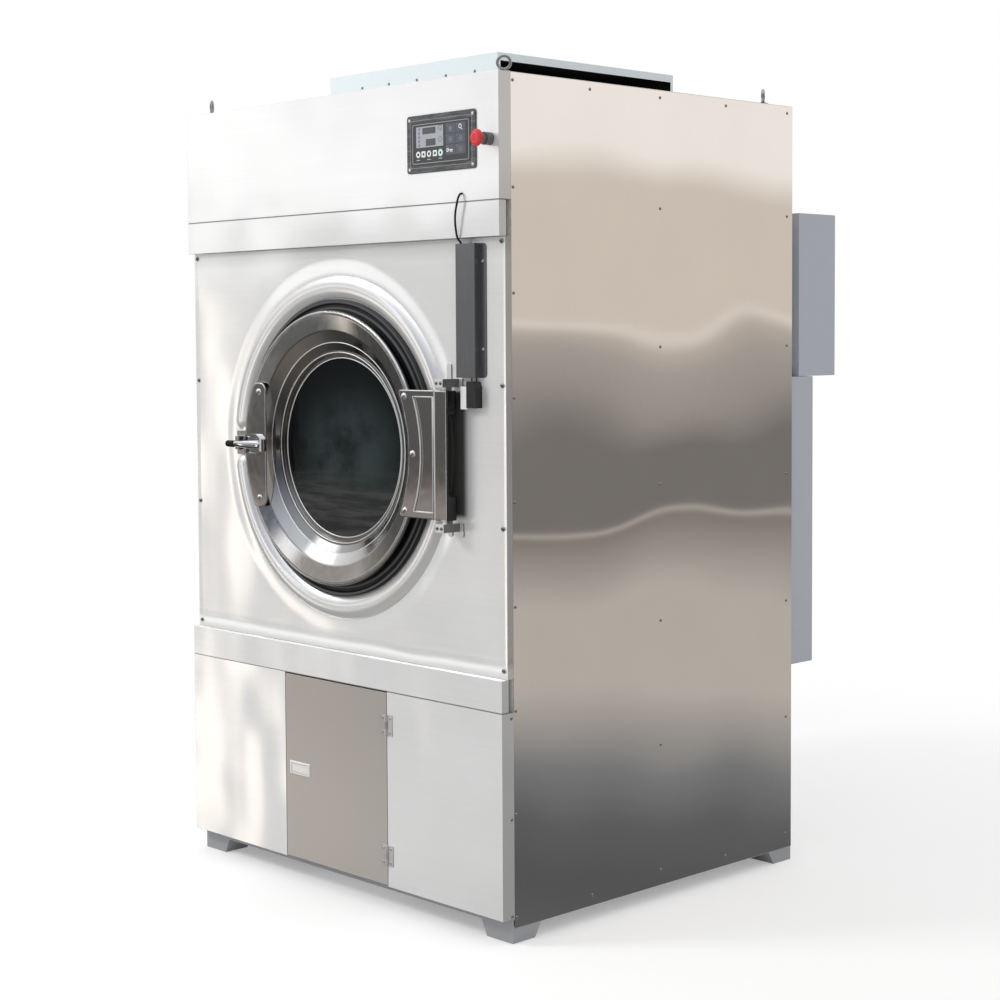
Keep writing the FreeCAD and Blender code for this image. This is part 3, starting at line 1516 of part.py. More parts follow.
def lint_screen():
    # A framed grid that lies on the ledges of the duct.
    half = duct_width / 2 - duct_sheet - seam
    front = duct_front_y + duct_sheet + seam
    back = duct_back_y - duct_sheet - seam
    top = screen_z + screen_thickness
    frame = box(-half, half, front, back, screen_z, top)
    clear = half - screen_frame
    frame = frame.cut(box(-clear, clear, front + screen_frame, back - screen_frame, screen_z, top))
    bars = []
    clear_length = back - front - 2 * screen_frame
    clear_width = 2 * (half - screen_frame)
    for index in range(1, screen_bars_across + 1):
        y = front + screen_frame + clear_length * index / (screen_bars_across + 1)
        bars.append(box(-half + screen_frame, half - screen_frame, y, y + screen_bar, screen_z, top))
    for index in range(1, screen_bars_along + 1):
        x = -half + screen_frame + clear_width * index / (screen_bars_along + 1)
        bars.append(box(x, x + screen_bar, front + screen_frame, back - screen_frame, screen_z, top))
    return frame.fuse(bars).removeSplitter()


def scroll_solid(wall, y_low, y_high):
    # A spiral of two half circles that opens into a straight outlet at the left.
    small = scroll_small - wall
    large = scroll_small + scroll_growth - wall
    low = scroll_low + wall
    top = fan_z + small
    outlet_top = scroll_low + scroll_outlet_height - wall
    left_x = -sqrt(small * small - (outlet_top - fan_z) ** 2)
    start = Vector(0, y_low, low)
    crest = Vector(0, y_low, top)
    tongue = Vector(left_x, y_low, outlet_top)
    half_turn = radians(45)
    left_middle = Vector(-small * cos(half_turn), y_low, fan_z + small * sin(half_turn))
    outlet_upper = Vector(-scroll_reach, y_low, outlet_top)
    outlet_lower = Vector(-scroll_reach, y_low, low)
    wire = Part.Wire([
        arc(start, Vector(large, y_low, (low + top) / 2), crest),
        arc(crest, left_middle, tongue),
        line(tongue, outlet_upper),
        line(outlet_upper, outlet_lower),
        line(outlet_lower, start),
    ])
    return Part.Face(wire).extrude(Vector(0, y_high - y_low, 0))


def fan_housing():
    front = duct_back_y
    back = front + scroll_width
    shell = scroll_solid(0, front, back).cut(scroll_solid(duct_sheet, front + duct_sheet, back - duct_sheet))
    shell = shell.cut(rod_y(0, fan_z, fan_inlet_radius, front, front + duct_sheet))
    shell = shell.cut(rod_y(0, fan_z, scroll_shaft_hole, back - duct_sheet, back))
    stand_top = scroll_low + duct_sheet
    stand = box(-cross_rail_x, cross_rail_x, front, front + duct_sheet, panel_bottom, stand_top)
    return shell.fuse(stand).removeSplitter()


def fan_wheel():
    # A backward-leaning blade wheel between a back plate and a shroud, on its shaft.
    front = duct_back_y + fan_front_gap
    plate_front = front + fan_blade_sheet + fan_blade_width
    plate = rod_y(0, fan_z, fan_radius, plate_front, plate_front + fan_blade_sheet)
    shroud = ring_y(0, fan_z, fan_shroud_inner, fan_radius, front, front + fan_blade_sheet)
    hub = rod_y(0, fan_z, fan_hub_radius, plate_front - fan_hub_radius, plate_front)
    blade_low = front + fan_blade_sheet
    blade = box(0, fan_radius - fan_shroud_inner + fan_hub_radius, blade_low, plate_front, 0, fan_blade_sheet)
    blade.rotate(Vector(0, 0, 0), Vector(0, 1, 0), fan_blade_lean)
    blade = blade.translated(Vector(fan_shroud_inner - fan_hub_radius, 0, fan_z))
    inside_wheel = rod_y(0, fan_z, fan_radius, blade_low, plate_front)
    blade = blade.common(inside_wheel)
    step = 360.0 / fan_blades
    blades = [about_y(blade, 0, fan_z, index * step) for index in range(fan_blades)]
    shaft_end = duct_back_y + scroll_width + fan_shaft_depth
    shaft = rod_y(0, fan_z, fan_shaft_radius, plate_front + fan_blade_sheet, shaft_end)
    return plate.fuse([shroud, hub, shaft] + blades).removeSplitter()


def fan_motor():
    front = duct_back_y + scroll_width
    flange_back = front + fan_motor_flange_thickness
    body_back = flange_back + fan_motor_length
    flange = rod_y(0, fan_z, fan_motor_flange, front, flange_back)
    body = rod_y(0, fan_z, fan_motor_radius, flange_back, body_back)
    cowl = rod_y(0, fan_z, fan_cowl_radius, body_back, body_back + fan_cowl_length)
    motor = flange.fuse([body, cowl]).removeSplitter()
    bore = fan_shaft_radius + shaft_play
    return motor.cut(rod_y(0, fan_z, bore, front, front + fan_shaft_depth + running_gap))


def exhaust_spigot():
    # An elbow box from the blower's outlet inside, and a flanged round spigot outside the rear panel.
    left = -scroll_reach - exhaust_width
    right = -scroll_reach
    low = scroll_low
    high = low + scroll_outlet_height
    front = duct_back_y
    duct = box(left, right, front, rear_inside, low, high)
    duct = duct.cut(box(
        left + duct_sheet, right - duct_sheet, front + duct_sheet, rear_inside - duct_sheet,
        low + duct_sheet, high - duct_sheet,
    ))
    mouth = box(
        right - duct_sheet, right, front + duct_sheet, front + scroll_width - duct_sheet,
        low + duct_sheet, high - duct_sheet,
    )
    duct = duct.cut(mouth)
    inner = spigot_radius - spigot_wall
    duct = duct.cut(rod_y(exhaust_x, exhaust_z, inner, rear_inside - duct_sheet, rear_inside))
    flange_back = rear_face + spigot_flange_thickness
    flange_radius = spigot_radius + spigot_flange_width
    flange = ring_y(exhaust_x, exhaust_z, inner, flange_radius, rear_face, flange_back)
    tube = ring_y(exhaust_x, exhaust_z, inner, spigot_radius, flange_back, rear_face + spigot_length)
    return group([duct, flange.fuse(tube).removeSplitter()])


def main():
    os.makedirs("parts", exist_ok=True)
    lower_split = lint_half + seam
    save("base_rails", base_rails())
    save("feet", feet())
    save("corner_posts", corner_posts())
    save("side_panel_left", side_panel(-half_width))
    save("side_panel_right", side_panel(inner_half))
    save("rear_panel", rear_panel())
    save("top_panel", top_panel())
    save("upper_front_panel", upper_front_panel())
    save("upper_band", band(upper_band_bottom, upper_panel_bottom))
    save("door_panel", door_panel())
    save("lower_band", band(lower_band_bottom, door_panel_bottom))
    save("lower_left_panel", lower_panel(-half_width, -lower_split))
    save("lower_right_panel", lower_panel(lower_split, half_width))
    save("intake_hood", intake_hood())
    save("lifting_eyes", lifting_eyes())
    save("door_bead", door_bead())
    save("door_gasket", door_gasket())
    save("throat_ring", throat_ring())
    save("door_ring", door_ring())
    save("glass_seal", glass_seal())
    save("door_glass", door_glass())
    save("hinge_plate", hinge_plate())
    save("hinge_blocks", hinge_blocks())
    save("door_bolts", door_bolts())
    save("latch_plate", latch_plate())
    save("latch_base", latch_base())
    save("handle_lever", handle_lever())
    save("latch_strike", latch_strike())
    save("control_bezel", control_bezel())
    save("control_overlay", control_overlay())
    save("estop_collar", estop_collar())
    save("estop_stem", estop_stem())
    save("estop_head", estop_head())
    save("wire_cover", wire_cover())
    save("door_switch", door_switch())
    save("switch_bracket", switch_bracket())
    save("door_cable", door_cable())
    save("lint_hinge_leaves", lint_hinge_leaves())
    save("lint_door", lint_door())
    save("latch_bezel", latch_bezel())
    save("latch_paddle", latch_paddle())
    save("drum_shell", drum_shell())
    save("drum_lifters", drum_lifters())
    save("drum_spider", drum_spider())
    save("drum_housing", drum_housing())
    save("rear_beam", rear_beam())
    save("bearing_housings", bearing_housings())
    save("drum_pulley", drum_pulley())
    save("motor_pulley", motor_pulley())
    save("drive_belts", drive_belts())
    save("gearmotor", gearmotor())
    save("belt_guard", belt_guard())
    save("electrical_box", electrical_box())
    save("heater_bank", heater_bank())
    save("lint_duct", lint_duct())
    save("lint_screen", lint_screen())
    save("fan_housing", fan_housing())
    save("fan_wheel", fan_wheel())
    save("fan_motor", fan_motor())
    save("exhaust_spigot", exhaust_spigot())


main()
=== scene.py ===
import json
import math
import bmesh
import bpy
from mathutils import Matrix, Vector


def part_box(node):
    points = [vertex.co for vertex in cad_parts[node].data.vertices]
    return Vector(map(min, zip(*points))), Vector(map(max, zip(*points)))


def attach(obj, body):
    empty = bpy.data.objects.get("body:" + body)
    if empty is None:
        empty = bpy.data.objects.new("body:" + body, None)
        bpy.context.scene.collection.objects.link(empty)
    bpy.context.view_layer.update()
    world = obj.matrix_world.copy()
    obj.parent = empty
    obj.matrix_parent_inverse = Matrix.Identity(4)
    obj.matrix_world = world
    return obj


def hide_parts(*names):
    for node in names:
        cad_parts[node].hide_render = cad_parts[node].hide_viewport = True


# Industrial tumble dryer, dressed for the photograph's view. Metres, in the frame of the solids.

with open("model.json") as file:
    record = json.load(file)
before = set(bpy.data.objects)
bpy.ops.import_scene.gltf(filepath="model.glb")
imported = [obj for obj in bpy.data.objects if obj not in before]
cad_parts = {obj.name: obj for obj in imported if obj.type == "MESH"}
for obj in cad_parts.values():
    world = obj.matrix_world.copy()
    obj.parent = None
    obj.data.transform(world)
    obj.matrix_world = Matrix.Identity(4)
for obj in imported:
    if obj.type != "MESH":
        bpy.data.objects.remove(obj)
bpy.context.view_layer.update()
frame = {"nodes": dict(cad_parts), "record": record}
cad_nodes = frame["nodes"]
scene = bpy.context.scene
scene.view_settings.view_transform = "Standard"

# Planes and places that the solids share
door_face = -0.61175
proud_face = -0.63125
side_face = 0.627
hood_face = -0.35475
door_axis_z = 1.160
funnel_step = 0.272
overlay_face = -0.63575
bezel_face = -0.63475
upper_band_bottom = 1.678
cable_hole = (0.500, 1.783)
cable_seat = -0.61455
estop_place = (0.597, 1.904)
estop_reach = 0.050
forward = (0.0, -1.0, 0.0)
backward = (0.0, 1.0, 0.0)

# Brush lines of the steel: how often the grain changes along X, Y and Z
level_brush = (14.0, 1500.0, 1500.0)
upright_brush = (1500.0, 1500.0, 14.0)
even_brush = (900.0, 900.0, 900.0)
fine_brush = (1500.0, 1500.0, 1500.0)


# Camera, at the place that the photograph was taken from
def place_camera():
    azimuth = math.radians(46.3024)
    pitch = math.radians(3.0727)
    roll = math.radians(-0.3277)
    back = Vector((
        math.sin(azimuth) * math.cos(pitch),
        -math.cos(azimuth) * math.cos(pitch),
        math.sin(pitch),
    ))
    level = Vector((math.cos(azimuth), math.sin(azimuth), 0.0))
    upright = back.cross(level)
    right = level * math.cos(roll) + upright * math.sin(roll)
    top = upright * math.cos(roll) - level * math.sin(roll)
    data = bpy.data.cameras.new("photo_camera")
    data.sensor_width = 36.0
    data.lens = 69.44
    data.shift_y = -0.06
    data.clip_end = 200.0
    camera = bpy.data.objects.new("photo_camera", data)
    scene.collection.objects.link(camera)
    turn = Matrix((right, top, back)).transposed().to_4x4()
    place = (3.87709, -3.73832, 1.44455)
    camera.matrix_world = Matrix.Translation(place) @ turn
    scene.camera = camera


# Node helpers
def put(tree, socket, value):
    if isinstance(value, bpy.types.NodeSocket):
        tree.links.new(value, socket)
    else:
        socket.default_value = value


def add(tree, kind, inputs=None, **settings):
    made = tree.nodes.new(kind)
    for key, value in settings.items():
        setattr(made, key, value)
    for key, value in (inputs or {}).items():
        put(tree, made.inputs[key], value)
    return made


def maths(tree, operation, first, *others):
    # One operation on a value, carried on with each further value.
    for other in others or (0.0,):
        first = add(tree, "ShaderNodeMath", {0: first, 1: other}, operation=operation).outputs[0]
    return first


def times(tree, *values):
    return maths(tree, "MULTIPLY", *values)


def spread(tree, value, low, high, to_low=0.0, to_high=1.0, kind="LINEAR"):
    inputs = {0: value, 1: low, 2: high, 3: to_low, 4: to_high}
    return add(tree, "ShaderNodeMapRange", inputs, interpolation_type=kind).outputs[0]


def ease(tree, value, low, high, to_low=0.0, to_high=1.0):
    return spread(tree, value, low, high, to_low, to_high, "SMOOTHSTEP")


def band(tree, value, start, whole, fall, end):
    # A share that rises from start to whole and falls again from fall to end.
    return times(tree, ease(tree, value, start, whole), ease(tree, value, end, fall))


def axes_of(tree, vector):
    return add(tree, "ShaderNodeSeparateXYZ", {0: vector}).outputs


def facing(tree):
    # The way that a face looks, by axis.
    return axes_of(tree, tree.nodes.new("ShaderNodeTexCoord").outputs["Normal"])


def colour(red, green, blue):
    return (red, green, blue, 1.0)


def shade(base, share):
    return colour(*[min(1.0, channel * share) for channel in base])


def mix_colour(tree, factor, first, second):
    return add(tree, "ShaderNodeMix", {0: factor, 6: first, 7: second}, data_type="RGBA").outputs[2]


def ramp(tree, factor, stops):
    # stops are (position, red, green, blue) with positions from 0 to 1.
    made = add(tree, "ShaderNodeValToRGB", {"Fac": factor})
    elements = made.color_ramp.elements
    while len(elements) < len(stops):
        elements.new(1.0)
    for element, stop in zip(elements, stops):
        element.position = stop[0]
        element.color = colour(*stop[1:])
    return made.outputs["Color"]


def noise(tree, vector, scale, detail=2.0, rough=0.5):
    inputs = {"Vector": vector, "Scale": scale, "Detail": detail, "Roughness": rough}
    return add(tree, "ShaderNodeTexNoise", inputs).outputs["Fac"]


def stretched(tree, vector, scale):
    return add(tree, "ShaderNodeMapping", {"Vector": vector, "Scale": scale}).outputs["Vector"]


def bump(tree, height, distance, strength=1.0, normal=None):
    inputs = {"Height": height, "Distance": distance, "Strength": strength}
    if normal is not None:
        inputs["Normal"] = normal
    return add(tree, "ShaderNodeBump", inputs).outputs["Normal"]


def new_material(name):
    material = bpy.data.materials.new(name)
    material.use_nodes = True
    tree = material.node_tree
    shader = tree.nodes["Principled BSDF"]
    place = tree.nodes.new("ShaderNodeTexCoord").outputs["Object"]
    return material, tree, shader, place


def feed(tree, shader, **sockets):
    names = {
        "base": "Base Color", "metal": "Metallic", "rough": "Roughness", "normal": "Normal", "ior": "IOR",
        "through": "Transmission Weight", "specular": "Specular IOR Level",
    }
    for key, value in sockets.items():
        put(tree, shader.inputs[names[key]], value)


def warm(level, warmth=1.0):
    return level, level * (1.0 - 0.13 * warmth), level * (1.0 - 0.25 * warmth)


# Surroundings: white to the camera, a studio hall in reflections, and even light otherwise.
# Each zone of the hall has its tones by height, from the top down: red, green and blue, or one grey.
# Beside the cabinet are a lit strip, a pale wall with a light edge, dark stands with a light line,
# a low wall and the floor.
side_tones = (
    (0.115, *warm(0.85, 0.6)), (0.087, *warm(0.85, 0.6)),
    (0.071, *warm(0.6)), (0.006, *warm(0.6)), (0.003, *warm(0.7, 0.8)),
    (-0.003, *warm(0.45)), (-0.012, *warm(0.36, 0.8)), (-0.03, *warm(0.3, 0.8)),
    (-0.05, *warm(0.17, 0.6)), (-0.092, *warm(0.17, 0.6)),
    (-0.094, *warm(0.55, 0.8)), (-0.096, *warm(0.2)),
    (-0.135, *warm(0.45, 0.8)), (-0.178, *warm(0.45, 0.8)),
    (-0.22, 0.18), (-0.25, 0.11), (-0.28, 0.09),
)
front_tones = (
    (1.00, 1.45, 1.48, 1.52), (0.60, 1.38, 1.40, 1.43), (0.36, 0.80, 0.79, 0.78),
    (0.24, 0.38, 0.35, 0.32), (0.18, 0.38, 0.35, 0.33), (0.14, 0.66, 0.68, 0.69), (0.115, 0.98),
    (0.078, 0.98), (0.062, 0.80), (0.052, 0.58), (0.040, 0.06), (0.020, 0.14), (0.00, 0.13),
    (-0.075, 0.11, 0.105, 0.10), (-0.086, 0.34, 0.30, 0.28), (-0.110, 0.36, 0.32, 0.30), (-0.130, 0.20),
    (-0.170, 0.18), (-0.200, 0.28), (-0.285, 0.36), (-0.315, 0.13), (-0.50, 0.06),
    (-0.72, 0.18, 0.165, 0.145), (-1.00, 0.24, 0.22, 0.19),
)
ahead_tones = (
    (1.00, 1.45, 1.48, 1.52), (0.74, 1.15, 1.18, 1.22), (0.62, 0.72, 0.76, 0.80),
    (0.50, 0.50, 0.53, 0.58), (0.30, 0.24, 0.26, 0.31), (0.20, 0.12, 0.13, 0.165),
    (0.06, 0.15, 0.16, 0.19), (0.020, 0.34, 0.325, 0.31), (0.00, 0.37, 0.355, 0.34), (-0.012, 0.58),
    (-0.10, 0.60), (-0.16, 0.34, 0.33, 0.32), (-0.24, 0.16, 0.155, 0.15), (-0.42, 0.06),
    (-0.72, 0.20, 0.175, 0.15), (-1.00, 0.24, 0.22, 0.19),
)
near_tones = (
    (1.00, 1.22, 1.25, 1.28), (0.70, 0.90, 0.93, 0.97), (0.55, 0.45, 0.47, 0.51),
    (0.30, 0.16, 0.17, 0.20), (0.12, 0.07, 0.07, 0.08), (0.00, 0.025, 0.024, 0.023),
    (-0.15, 0.05, 0.045, 0.04), (-0.40, 0.26, 0.215, 0.18), (-0.70, 0.16, 0.14, 0.12),
    (-1.00, 0.24, 0.22, 0.19),
)
far_left_tones = (
    (1.00, 1.22, 1.25, 1.28), (0.55, 1.10, 1.12, 1.15), (0.30, 0.62, 0.60, 0.58),
    (0.16, 0.34, 0.31, 0.285), (0.06, 0.10), (-0.20, 0.07), (-0.50, 0.05), (-1.00, 0.24, 0.22, 0.19),
)
# Light of the surroundings on dull surfaces; the lamp adds the rest.
even_light = 0.78
skylight_direction = (-0.627, -0.459, 0.630)
pure_white = colour(1.0, 1.0, 1.0)
pure_black = colour(0.0, 0.0, 0.0)


def tone_ramp(tree, height, tones, low, high):
    stops = []
    for level, *channels in reversed(tones):
        if len(channels) == 1:
            channels = channels * 3
        stops.append(((level - low) / (high - low), *channels))
    return ramp(tree, spread(tree, height, low, high), stops)


def make_world():
    world = bpy.data.worlds.new("hall")
    scene.world = world
    world.use_nodes = True
    world.cycles.sampling_method = "NONE"
    tree = world.node_tree
    tree.nodes.clear()
    direction = tree.nodes.new("ShaderNodeTexCoord").outputs["Generated"]
    axes = axes_of(tree, direction)
    height = axes["Z"]
    side = tone_ramp(tree, height, side_tones, side_tones[-1][0], side_tones[0][0])
    level = maths(tree, "SQRT", maths(tree, "SUBTRACT", 1.0, times(tree, height, height)))
    across = maths(tree, "DIVIDE", axes["X"], maths(tree, "MAXIMUM", level, 0.05))
    # From the far left round to the camera: a dark end wall, the lit front, stands ahead and the near dark.
    front = tone_ramp(tree, height, front_tones, -1.0, 1.0)
    zones = ((ahead_tones, -0.70, -0.58), (near_tones, 0.20, 0.42), (far_left_tones, -0.88, -0.90))
    for tones, begin, whole in zones:
        zone = tone_ramp(tree, height, tones, -1.0, 1.0)
        front = mix_colour(tree, ease(tree, across, begin, whole), front, zone)
    # A tall narrow window ahead, which folds and rounded edges pick up.
    window_side = band(tree, across, -0.655, -0.625, -0.555, -0.525)
    window_height = band(tree, height, -0.27, -0.22, 0.34, 0.40)
    front = mix_colour(tree, times(tree, window_side, window_height), front, colour(1.35, 1.35, 1.37))
    # A row of warm lamps low at the far left, which the waves of the sheet pick up.
    glow_side = band(tree, across, -0.892, -0.876, -0.846, -0.806)
    glow_height = band(tree, height, -0.31, -0.27, -0.01, 0.055)
    front = mix_colour(tree, times(tree, glow_side, glow_height), front, colour(1.62, 1.45, 1.26))
    # A skylight high at the left, which gives the polished pieces their glints.
    inputs = {0: direction, 1: skylight_direction}
    nearness = add(tree, "ShaderNodeVectorMath", inputs, operation="DOT_PRODUCT").outputs["Value"]
    front = mix_colour(tree, ease(tree, nearness, 0.975, 0.992), front, colour(3.2, 3.2, 3.2))
    # The wall that the cabinet's sides reflect.
    towards_side = maths(tree, "ADD", times(tree, axes["X"], 0.72), times(tree, axes["Y"], 0.69))
    to_left = times(tree, ease(tree, axes["X"], 0.0, -0.30), ease(tree, axes["Y"], 0.12, 0.40))
    to_wall = maths(tree, "MAXIMUM", ease(tree, towards_side, 0.15, 0.45), to_left)
    below = ease(tree, height, -0.285, -0.44)
    wall = mix_colour(tree, below, side, colour(0.42, 0.41, 0.40))
    hall = mix_colour(tree, to_wall, front, wall)
    path = tree.nodes.new("ShaderNodeLightPath").outputs
    dim_white = colour(even_light, even_light, even_light)
    plain = mix_colour(tree, path["Is Diffuse Ray"], pure_white, dim_white)
    seen = mix_colour(tree, path["Is Glossy Ray"], plain, hall)
    background = add(tree, "ShaderNodeBackground", {"Color": seen, "Strength": 1.0})
    output = tree.nodes.new("ShaderNodeOutputWorld")
    tree.links.new(background.outputs[0], output.inputs["Surface"])


def make_lamp():
    # A soft lamp high at the front left, which throws the fittings' shadows to the lower right.
    data = bpy.data.lights.new("soft_lamp", "AREA")
    data.shape = "DISK"
    data.size = 1.1
    data.energy = 55.0
    lamp = bpy.data.objects.new("soft_lamp", data)
    lamp.visible_glossy = False
    scene.collection.objects.link(lamp)
    place = Vector((-1.7, -3.3, 3.1))
    aim = Vector((0.1, -0.6, 1.2)) - place
    lamp.matrix_world = Matrix.Translation(place) @ aim.to_track_quat("-Z", "Y").to_matrix().to_4x4()


def make_floor():
    bpy.ops.mesh.primitive_plane_add(size=60.0, location=(0.0, 0.0, -0.0005))
    floor = bpy.context.object
    floor.name = "studio_floor"
    material, tree, shader, place = new_material("floor_white")
    feed(tree, shader, base=colour(0.80, 0.80, 0.80), rough=0.9, specular=0.1)
    distance = add(tree, "ShaderNodeVectorMath", {0: place}, operation="LENGTH").outputs["Value"]
    far = ease(tree, distance, 1.6, 3.2)
    camera_ray = tree.nodes.new("ShaderNodeLightPath").outputs["Is Camera Ray"]
    white = add(tree, "ShaderNodeEmission", {"Color": pure_white, "Strength": 1.0})
    faint = times(tree, camera_ray, 0.30)
    lift = add(tree, "ShaderNodeEmission", {"Color": pure_white, "Strength": faint})
    near = add(tree, "ShaderNodeAddShader", {0: shader.outputs[0], 1: lift.outputs[0]})
    factor = times(tree, far, camera_ray)
    both = add(tree, "ShaderNodeMixShader", {0: factor, 1: near.outputs[0], 2: white.outputs[0]})
    tree.links.new(both.outputs[0], tree.nodes["Material Output"].inputs["Surface"])
    floor.data.materials.append(material)
    floor.visible_glossy = False


# Materials
def brushed_steel(
    name, base, rough, brush, metal=0.6, wave=0.0, wave_scale=(3.0, 3.0, 3.0), contrast=0.05, side_shade=1.0,
    scratch=0.06, bead=None, edges=None, seams=(), fade=None, hinge_shade_bounds=None, uneven=0.27, lean=0.0,
):
    # Sheet steel with fine brush lines, soft folded edges and, over a large panel, the waves of rolled sheet.
    material, tree, shader, place = new_material(name)
    axes = axes_of(tree, place)
    grain = noise(tree, stretched(tree, place, brush), 1.0, 4.0, 0.6)
    coarse = noise(tree, stretched(tree, place, tuple(0.14 * step for step in brush)), 1.0, 3.0, 0.6)
    cloud = noise(tree, place, 6.0, 3.0)
    lines = spread(tree, maths(tree, "ADD", grain, coarse, cloud), 1.0, 2.0)
    tone = mix_colour(tree, lines, shade(base, 1.0 - contrast), shade(base, 1.0 + contrast))
    if side_shade < 1.0:
        # Painted shade: the faces turned to the sides, such as the folded edges, are darker than the face.
        sideways = maths(tree, "ABSOLUTE", facing(tree)["X"])
        tone = mix_colour(tree, maths(tree, "GREATER_THAN", sideways, 0.7), tone, shade(base, side_shade))
    # The sheet darkens towards black between two heights: on the door panel this is painted shade under the
    # upper band, and the lint door darkens towards its top.
    if fade:
        begin, whole, depth = fade
        tone = mix_colour(tree, ease(tree, axes["Z"], begin, whole, 0.0, depth), tone, pure_black)
    for seam in seams:
        # Dust that has settled in the joint between two sheets.
        apart = maths(tree, "ABSOLUTE", maths(tree, "SUBTRACT", axes["Z"], seam))
        dust = spread(tree, apart, 0.0026, 0.0010, 0.0, 0.75)
        tone = mix_colour(tree, dust, tone, colour(0.20, 0.185, 0.17))
    # Painted shade beside the hinge: the hinge plate's dark side, as its shadow and reflection on the sheet.
    if hinge_shade_bounds:
        tone = mix_colour(tree, painted_hinge_shade(tree, place, *hinge_shade_bounds), tone, colour(0.035, 0.033, 0.031))
    rough_map = spread(tree, grain, 0.3, 0.7, rough * (1.0 - uneven), rough * (1.0 + uneven))
    fold_radius = 0.0018
    normal = add(tree, "ShaderNodeBevel", {"Radius": fold_radius}, samples=4).outputs["Normal"]
    if wave:
        height = times(tree, noise(tree, stretched(tree, place, wave_scale), 1.0, 1.0), wave)
        if bead:
            height = maths(tree, "ADD", height, pressed_rise(tree, place, *bead))
        if edges:
            height = maths(tree, "ADD", height, flared_edges(tree, place, *edges))
        if lean:
            # The sheet stands a little out of square, its right end forward of its left.
            height = maths(tree, "ADD", height, times(tree, axes["X"], lean))
        normal = bump(tree, height, 1.0, 1.0, normal)
    normal = bump(tree, grain, 0.0002, scratch, normal)
    feed(tree, shader, base=tone, metal=metal, rough=rough_map, normal=normal)
    return material


def flared_edges(tree, place, left, right, low, width, height):
    # The sheet stands a little forward along its side and bottom edges, as a height by distance from them.
    axes = axes_of(tree, place)
    at_left = ease(tree, axes["X"], left + width / 2.0, left, 0.0, height * 0.15)
    at_right = ease(tree, axes["X"], right - width / 4.0, right, 0.0, height * 0.15)
    nearness = spread(tree, axes["Z"], low + width * 1.5, low)
    at_low = times(tree, nearness, nearness, height * 1.7)
    return maths(tree, "ADD", at_left, at_right, at_low)


def painted_hinge_shade(tree, place, left, right, low, high):
    # Painted shade and painted reflection of the hinge plate's dark side on the sheet beside the hinge, as a
    # share from 0 to 1 with a soft right edge.
    axes = axes_of(tree, place)
    from_left = maths(tree, "GREATER_THAN", axes["X"], left)
    to_right = ease(tree, axes["X"], right + 0.010, right - 0.014, 0.0, 0.93)
    upright = band(tree, axes["Z"], low - 0.010, low + 0.010, high - 0.006, high + 0.006)
    return times(tree, from_left, to_right, upright)


def axis_distance(tree, place):
    # Distance from the door's axis.
    axes = axes_of(tree, place)
    lift = maths(tree, "SUBTRACT", axes["Z"], door_axis_z)
    squares = maths(tree, "ADD", times(tree, axes["X"], axes["X"]), times(tree, lift, lift))
    return maths(tree, "SQRT", squares)


def pressed_rise(tree, place, radius, width, height):
    # The sheet's slight rise round its bead, as a height by distance from the door's axis.
    return ease(tree, axis_distance(tree, place), radius + width, radius, 0.0, height)


def polished_steel(name, base, rough, ripple=0.0, edge=0.0, right_side=1.0, wall=None, inner=None):
    material, tree, shader, place = new_material(name)
    smear = noise(tree, place, 45.0, 4.0)
    rough_map = spread(tree, smear, 0.3, 0.75, rough * 0.8, rough * 1.3)
    tone = mix_colour(tree, smear, shade(base, 0.93), colour(*base))
    if right_side < 1.0:
        # Painted shade on the faces turned towards the hinge side, beside the hinge.
        by_hinge = spread(tree, axes_of(tree, place)["X"], 0.395, 0.410)
        rightward = times(tree, spread(tree, facing(tree)["X"], 0.4, 0.8), by_hinge)
        tone = mix_colour(tree, rightward, tone, shade(base, right_side))
    if wall:
        # Painted shade on the outer wall of the door ring, behind its rolled edge.
        outward = maths(tree, "SUBTRACT", axis_distance(tree, place), wall - 0.0035)
        forward_part = maths(tree, "ABSOLUTE", facing(tree)["Y"])
        behind = times(tree, spread(tree, forward_part, 0.85, 0.50), spread(tree, outward, 0.0, 0.0015))
        tone = mix_colour(tree, behind, tone, shade(base, 0.10))
    if inner:
        # Painted shade: the inner part of the door's funnel is darker than the outer part, standing for a
        # step in the funnel that the solid doesn't have.
        within = spread(tree, axis_distance(tree, place), inner + 0.0012, inner - 0.0012, 0.0, 0.45)
        tone = mix_colour(tree, within, tone, pure_black)
    normal = None
    if edge:
        normal = add(tree, "ShaderNodeBevel", {"Radius": edge}, samples=8).outputs["Normal"]
    if ripple:
        normal = bump(tree, noise(tree, place, 18.0, 1.0), 0.0006, ripple, normal)
    fine = bump(tree, noise(tree, place, 900.0, 2.0), 0.0001, 0.03, normal)
    feed(tree, shader, base=tone, metal=1.0, rough=rough_map, normal=fine)
    return material


def enamel(name, base, rough, peel=0.05):
    material, tree, shader, place = new_material(name)
    cloud = noise(tree, place, 7.0, 4.0, 0.6)
    heights = axes_of(tree, place)["Z"]
    dust = ease(tree, heights, 0.10, 0.0, 0.0, 0.35)
    clean = mix_colour(tree, cloud, shade(base, 0.93), colour(*base))
    dusty = mix_colour(tree, times(tree, dust, cloud), clean, colour(0.42, 0.40, 0.37))
    rough_map = spread(tree, cloud, 0.3, 0.7, rough - 0.05, rough + 0.08)
    normal = bump(tree, noise(tree, place, 420.0, 2.0), 0.0004, peel)
    feed(tree, shader, base=dusty, rough=rough_map, normal=normal, specular=0.4)
    return material


def moulded(name, base, rough, grain=650.0, depth=0.08, specular=0.5):
    material, tree, shader, place = new_material(name)
    speckle = noise(tree, place, grain, 2.0)
    cloud = noise(tree, place, 25.0, 3.0)
    tone = mix_colour(tree, cloud, shade(base, 0.85), colour(*base))
    rough_map = spread(tree, cloud, 0.3, 0.7, rough - 0.06, rough + 0.06)
    normal = bump(tree, speckle, 0.0003, depth)
    feed(tree, shader, base=tone, rough=rough_map, normal=normal, specular=specular)
    return material


